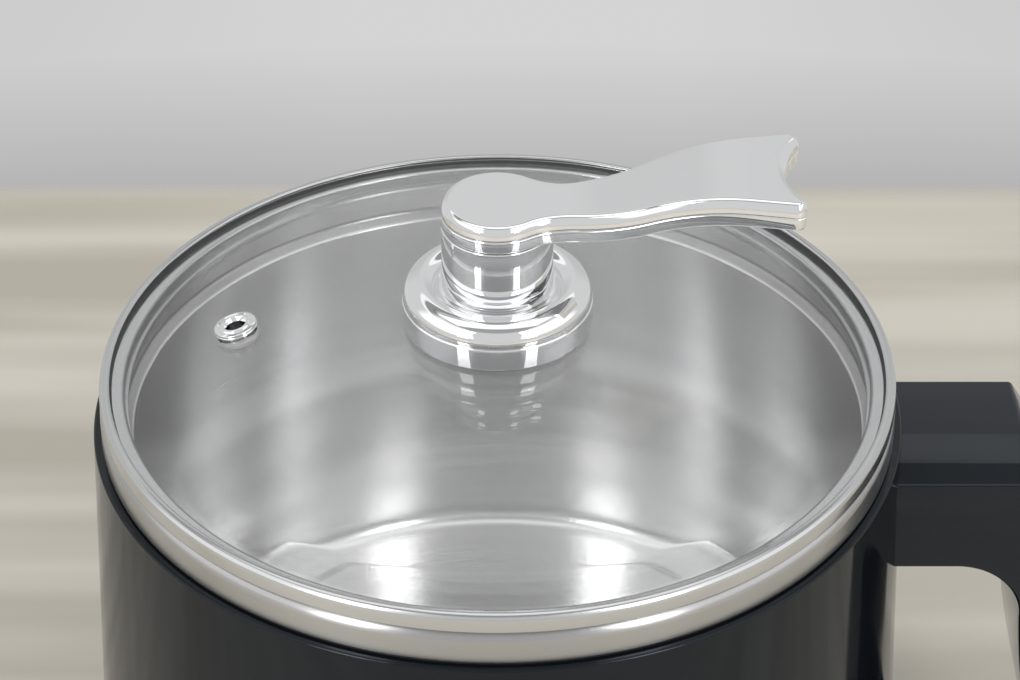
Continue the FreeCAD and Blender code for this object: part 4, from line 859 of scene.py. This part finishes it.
# %% Skin the handle
HALF_WIDTH, EDGE_ROUND, ROOT_DEPTH = 20.6, 1.3, 1.2


def shell_radius(height):
    return FOOT_RADIUS - (height - FOOT_HEIGHT) * (FOOT_RADIUS - TOP_RADIUS) / (TOP_HEIGHT - FOOT_HEIGHT)


closed_line = np.concatenate((side_line[-1:], side_line, side_line[:1]))
into = -sideways(closed_line)[1:-1]
roots = [0, len(outer_line) - 1, len(outer_line), len(side_line) - 1]
into[roots] = [(0.0, -1.0), (0.0, 1.0), (0.0, -1.0), (0.0, 1.0)]
is_outer = np.arange(len(side_line)) < len(outer_line)
on_top = np.clip((side_line[:, 1] - 112.0) / 14.0, 0.0, 1.0) * is_outer
levels = [(0.0, 0.0, -0.7), (2.0, 0.0, -0.7), (2.4, 0.0, -0.69), (7.5, 0.0, -0.51), (12.6, 0.0, -0.33),
          (13.0, 0.0, -0.3), (16.0, 0.0, -0.02), (HALF_WIDTH - EDGE_ROUND, 0.0, 0.29)]
for turn in np.radians(range(9, 91, 9)):
    out, inset = EDGE_ROUND * (1 - math.sin(turn)), EDGE_ROUND * (1 - math.cos(turn))
    levels.append((HALF_WIDTH - out, inset, 0.29))
levels = [(-y, inset, lowered) for y, inset, lowered in levels[:0:-1]] + levels
rings = []
for y, inset, lowered in levels:
    flat = side_line + into * (inset + lowered * on_top)[:, None]
    flat[roots, 0] = np.sqrt((shell_radius(flat[roots, 1]) - ROOT_DEPTH) ** 2 - y * y)
    rings.append(np.column_stack((flat[:, 0], np.full(len(flat), y), flat[:, 1])))
count = len(side_line)
faces = []
for i in range(len(rings) - 1):
    for j in range(count):
        k = (j + 1) % count
        faces.append((i * count + j, i * count + k, (i + 1) * count + k, (i + 1) * count + j))
last = (len(rings) - 1) * count
faces += [tuple(range(count))[::-1], tuple(range(last, last + count))]
handle = piece("grip_loop", np.concatenate(rings), faces, sharp=24.0)
finish_piece(handle, "pot", handle_gloss, "handle", "handle_frame")
print("handle:", len(handle.data.vertices), "points")

# %% [markdown]
# ## Cover of the handle
# The cover closes the loop outside and is crowned across, so that it fills the palm. Each strip of it
# is the back's line again, drawn in by as much as a circle of 55 mm falls away at that distance from
# the middle. A few more strips close it underneath.

# %% Skin the cover
COVER_HALF, COVER_DEPTH, CROWN_RADIUS = 16.4, 3.1, 55.0
cover_line = np.array([
    *arc((123.5, HANDLE_TOP), (148.0, 37.0), -186.5, 44), *arc((148.0, 37.0), (124.0, 13.0), -24.0, 24),
    (110.0, 13.0), (96.5, 13.0),
])
cover_in = -sideways(cover_line)
strips = []
for y in np.linspace(-COVER_HALF, COVER_HALF, 23):
    drop = min(2.55, CROWN_RADIUS - math.sqrt(CROWN_RADIUS ** 2 - y * y))
    strips.append(np.insert(cover_line + cover_in * drop, 1, y, axis=1))
for y in np.linspace(COVER_HALF, -COVER_HALF, 5):
    strips.append(np.insert(cover_line + cover_in * COVER_DEPTH, 1, y, axis=1))
count = len(cover_line)
starts = [i * count for i in range(len(strips))]
faces = []
for a, b in zip(starts, starts[1:] + starts[:1]):
    faces += [(a + j, a + j + 1, b + j + 1, b + j) for j in range(count - 1)]
faces += [tuple(starts), tuple(a + count - 1 for a in starts)[::-1]]
cover = piece("grip_cover_crowned", np.concatenate(strips), faces, sharp=35.0)
finish_piece(cover, "pot", handle_gloss, "cover", "handle_cover")
print("cover:", len(cover.data.vertices), "points")

# %% [markdown]
# ## Lever
# The lever is the showpiece: a round hub, a waist, a paddle that widens to a fish-tail end, and all
# of it lifts in an S towards the tail. A softly bulged band runs round the top of its side, with a
# small rounding above it and a fine crease below. A subdivision cage would only come near to that.
# Instead the plan's edge is written down once, and copied as a stack of rings: each ring has its
# inset from the edge and its drop below the top, and the S-curve lifts every point by its place.

# %% Draw the lever's plan


def near_point(path_a, path_b):
    """Indices of the two points, one on each path, that lie nearest to each other."""
    gaps = np.linalg.norm(path_a[:, None] - path_b[None], axis=2)
    return np.unravel_index(np.argmin(gaps), gaps.shape)


HUB, WAIST, TIP_X, TIP_Y, NOTCH, TIP_ROUND = POST_RADIUS, 14.0, 70.5, 16.28, 7.75, 2.3
hub_angle, side_slope = math.radians(55.2), math.radians(9.0)
reach = HUB + WAIST
hub_end = (HUB * math.cos(hub_angle), HUB * math.sin(hub_angle))
waist_end = (reach * math.cos(hub_angle) + WAIST * math.sin(side_slope),
             reach * math.sin(hub_angle) - WAIST * math.cos(side_slope))
notch_radius = (TIP_Y ** 2 + NOTCH ** 2) / (2 * NOTCH)
long_side = np.linspace(waist_end, (TIP_X, TIP_Y), 900)
tail = np.array([(TIP_X, TIP_Y), *arc((TIP_X, TIP_Y), (TIP_X - NOTCH, 0.0), notch_radius, 400)])
inner_side = long_side - sideways(long_side) * TIP_ROUND
inner_tail = tail - sideways(tail) * TIP_ROUND
on_side, on_tail = near_point(inner_side, inner_tail)
tip = arc(tail[on_tail], long_side[on_side], TIP_ROUND, 20)
half = np.array([*tail[:on_tail:-1], tail[on_tail], *tip, *long_side[on_side - 1::-1],
                 *arc(waist_end, hub_end, -WAIST, 60), *arc(hub_end, (-HUB, 0.0), HUB, 120)])
travel = np.concatenate(([0.0], np.cumsum(np.linalg.norm(np.diff(half, axis=0), axis=1))))
evenly = np.linspace(0.0, travel[-1], 330)
half = np.stack([np.interp(evenly, travel, half[:, axis]) for axis in (0, 1)], axis=1)
plan = np.concatenate((half, (half * (1, -1))[-2:0:-1]))
print("lever plan:", len(plan), "points,", round(travel[-1] * 2, 1), "mm round")

# %% [markdown]
# ## Lift of the lever
# From the side the lever is an S of two equal arcs: flat over the hub, rising through the waist, and
# flat again along the paddle. The rings below go from a spine on the top out to the edge, down the
# band and the crease, and back to the spine underneath.

# %% Lift the plan into the lever
RISE_START, RISE_RUN, RISE, LEVER_LOW, LEVER_TOP = 12.5, 42.5, 8.1, 185.13, 191.576
SPINE_END, TOP_INSET, BULGE_RADIUS, BULGE_DEPTH = 57.0, 1.7, 5.3, 3.1


def rise_at(x):
    """Height of the S-curve over the hub."""
    bend = ((RISE_RUN / 2) ** 2 + (RISE / 2) ** 2) / RISE
    along = np.clip(np.asarray(x, float) - RISE_START, 0.0, RISE_RUN)
    back = np.minimum(along, RISE_RUN - along)
    lift = bend - np.sqrt(bend * bend - back * back)
    return np.where(along <= RISE_RUN / 2, lift, RISE - lift)


around = np.concatenate((plan[-1:], plan, plan[:1]))
inward = sideways(around)[1:-1]
spine = np.stack((np.clip(plan[:, 0], 0.0, SPINE_END), np.zeros(len(plan))), axis=1)
rim = plan + inward * TOP_INSET
rings = [(rim + (spine - rim) * share, 0.0) for share in (1.0, 0.8, 0.6, 0.4, 0.22, 0.1, 0.03)]
bulge = [(BULGE_RADIUS - math.sqrt(BULGE_RADIUS ** 2 - (BULGE_DEPTH - drop) ** 2), drop)
         for drop in np.linspace(0.3, BULGE_DEPTH, 15)]
edge = [(TOP_INSET, 0.0), (1.5, 0.01), (1.3, 0.06), (1.12, 0.15), *bulge,
        (0.03, 3.3), (0.1, 3.42), (0.14, 3.5), (0.1, 3.58), (0.0, 3.68),
        (0.0, 5.9), (0.05, 6.12), (0.17, 6.3), (0.35, 6.41), (0.6, 6.45)]
rings += [(plan + inward * inset, drop) for inset, drop in edge]
rings += [(plan + (spine - plan) * share, LEVER_TOP - LEVER_LOW) for share in (0.15, 0.4, 0.7, 1.0)]
count = len(plan)
points = np.concatenate([
    np.column_stack((flat, LEVER_TOP - drop + rise_at(flat[:, 0]))) for flat, drop in rings
])
faces = []
for i in range(len(rings) - 1):
    for j in range(count):
        k = (j + 1) % count
        faces.append((i * count + j, (i + 1) * count + j, (i + 1) * count + k, i * count + k))
lever = piece("fishtail_lever", points, faces, sharp=40.0)
welded = bmesh.new()
welded.from_mesh(lever.data)
bmesh.ops.remove_doubles(welded, verts=welded.verts, dist=1e-6)
welded.to_mesh(lever.data)
welded.free()
finish_piece(lever, "lever", chrome, "chrome", "lever")
journal_section = [(2.0, 178.88), (5.0, 178.88), (5.0, 185.3), (2.0, 185.3)]
journal = lathe("lever_journal", journal_section, 96)
finish_piece(journal, "lever", zinc, "zinc")
print("lever:", len(lever.data.vertices), "points")

# %% [markdown]
# ## Table
# The pot stands on a plain pale table that ends a little behind it. A thick board could stand for it,
# but its far edge would show as a dark line. One face whose last few millimetres fade away looks as
# soft as a far edge does, and long soft streaks keep it from looking empty. Towards the front the
# table is painted paler than at the back: painted light from the front.

# %% Table
TABLE_REACH, TABLE_END = 1500.0, 307.7


def make_table_finish():
    f = Finish("pale_table")
    place = f.place()
    y = f.parts(place)[1]
    streaks = f.fit(f.noise(f.stretch(place, (2.2, 34.0, 1.0)), 1.0, 2.0), 0.35, 0.65, 0.0, 1.0)
    tone = f.blend(streaks, (0.52, 0.485, 0.41, 1.0), (0.725, 0.688, 0.60, 1.0))
    return f.done(f.principled({
        # painted light: the table's colour is blended paler towards the front
        "Base Color": f.blend(f.fit(y, -0.3, 0.25, 0.3, 0.0), tone, (0.88, 0.83, 0.74, 1.0)),
        "Roughness": 0.6,
        "Alpha": f.fit(y, 0.3, 0.308, 1.0, 0.0),
    }))


table_corners = [(-TABLE_REACH, -TABLE_REACH, 0.0), (TABLE_REACH, -TABLE_REACH, 0.0),
                 (TABLE_REACH, TABLE_END, 0.0), (-TABLE_REACH, TABLE_END, 0.0)]
table = piece("table", table_corners, [(0, 1, 2, 3)])
table.data.materials.append(make_table_finish())
print("table in place")

# %% [markdown]
# ## Room
# The room is one sum on the direction: a grey wall all round that is darker far below, a bright and a
# dark stripe high up behind the pot, a darker ceiling, large pale panels left and right, and a little
# less light beside the middle of the far wall. Walls and panels could be real planes, but a sum is
# quicker to change and adds no mesh. Chrome needs both light and dark places round it to show its
# shape.

# %% Room


def make_room():
    r = Finish("studio_room", room=True)
    x, y, z = r.parts(r.node("ShaderNodeTexCoord", out="Generated"))
    wall = 0.42 + r.fit(z, -0.545, -0.5, 0.0, 0.24)
    stripes = (r.fit(z, 0.612, 0.632, 0.0, 0.34) - r.fit(z, 0.675, 0.695, 0.0, 0.7)
               + r.fit(z, 0.78, 0.82, 0.0, 0.5))
    behind = r.fit(y, -0.1, 0.2, 0.0, 1.0) * stripes
    ceiling = r.fit(z, 0.76, 0.84, 0.0, 0.3)
    aside = x.maths("ABSOLUTE", x)
    panels = (r.fit(aside, 0.42, 0.46, 0.0, 0.5) * r.fit(y, 0.1, 0.3, 1.0, 0.0)
              * r.fit(z, 0.12, 0.16, 0.0, 1.0) * r.fit(z, 0.76, 0.84, 1.0, 0.0))
    corners = r.fit(aside, 0.05, 0.16, 0.0, 0.1) * r.fit(y, 0.8, 0.9, 0.0, 1.0)
    level = wall + behind - ceiling + panels - corners
    return r.done(r.node("ShaderNodeBackground", None, {"Color": level, "Strength": 1.0}))


bpy.context.scene.world = make_room()
print("room:", bpy.context.scene.world.name)

# %% [markdown]
# ## Lamps
# Two tall soft boxes stand in front, forty degrees left and right, and a broad one hangs overhead.
# They light the pot, and they are also the bright strips that the knob mirrors. Sun lamps would light
# it as well, but they would only be points in the chrome.

# %% Soft boxes
LAMPS_AIM = Vector((0.0, 0.0, 0.15))


def soft_box(name, width, height, place, radiance):
    """An area lamp whose face has the given brightness; the camera doesn't see it."""
    lamp = bpy.data.lights.new(name, "AREA")
    lamp.shape = "RECTANGLE"
    lamp.size, lamp.size_y = width, height
    lamp.energy = radiance * math.pi * width * height
    made = bpy.data.objects.new(name, lamp)
    bpy.context.scene.collection.objects.link(made)
    made.location = place
    made.rotation_euler = (Vector(place) - LAMPS_AIM).to_track_quat("Z", "Y").to_euler()
    made.visible_camera = False


soft_box("left_soft_box", 0.3, 0.95, (-0.72, -0.88, 0.75), 4.0)
soft_box("right_soft_box", 0.3, 0.95, (0.72, -0.88, 0.75), 4.0)
soft_box("overhead_soft_box", 1.4, 0.7, (0.0, 0.1, 1.3), 0.75)

# %% [markdown]
# ## Camera
# The camera looks down on the lid at 35 degrees from three quarters of a metre away, through a long
# lens that keeps the circles of the lid calm. An empty as a tracking target could aim it, but one
# angle and one distance say the same.

# %% Camera
LOOK_DOWN, DISTANCE, RAISED = math.radians(35.15), 0.7479, 0.00488
lens = bpy.data.cameras.new("view")
lens.sensor_width = 36.0
lens.lens = 116.5
camera = bpy.data.objects.new("view", lens)
bpy.context.scene.collection.objects.link(camera)
ahead = Vector((0.0, math.cos(LOOK_DOWN), -math.sin(LOOK_DOWN)))
upward = Vector((0.0, math.sin(LOOK_DOWN), math.cos(LOOK_DOWN)))
looked_at = Vector((0.0028, 0.0, 0.148))
camera.location = looked_at - ahead * DISTANCE + upward * RAISED
camera.rotation_euler = (math.pi / 2 - LOOK_DOWN, 0.0, 0.0)
bpy.context.scene.camera = camera
bpy.context.scene.view_settings.view_transform = "Standard"
print("camera at", [round(v, 3) for v in camera.location])
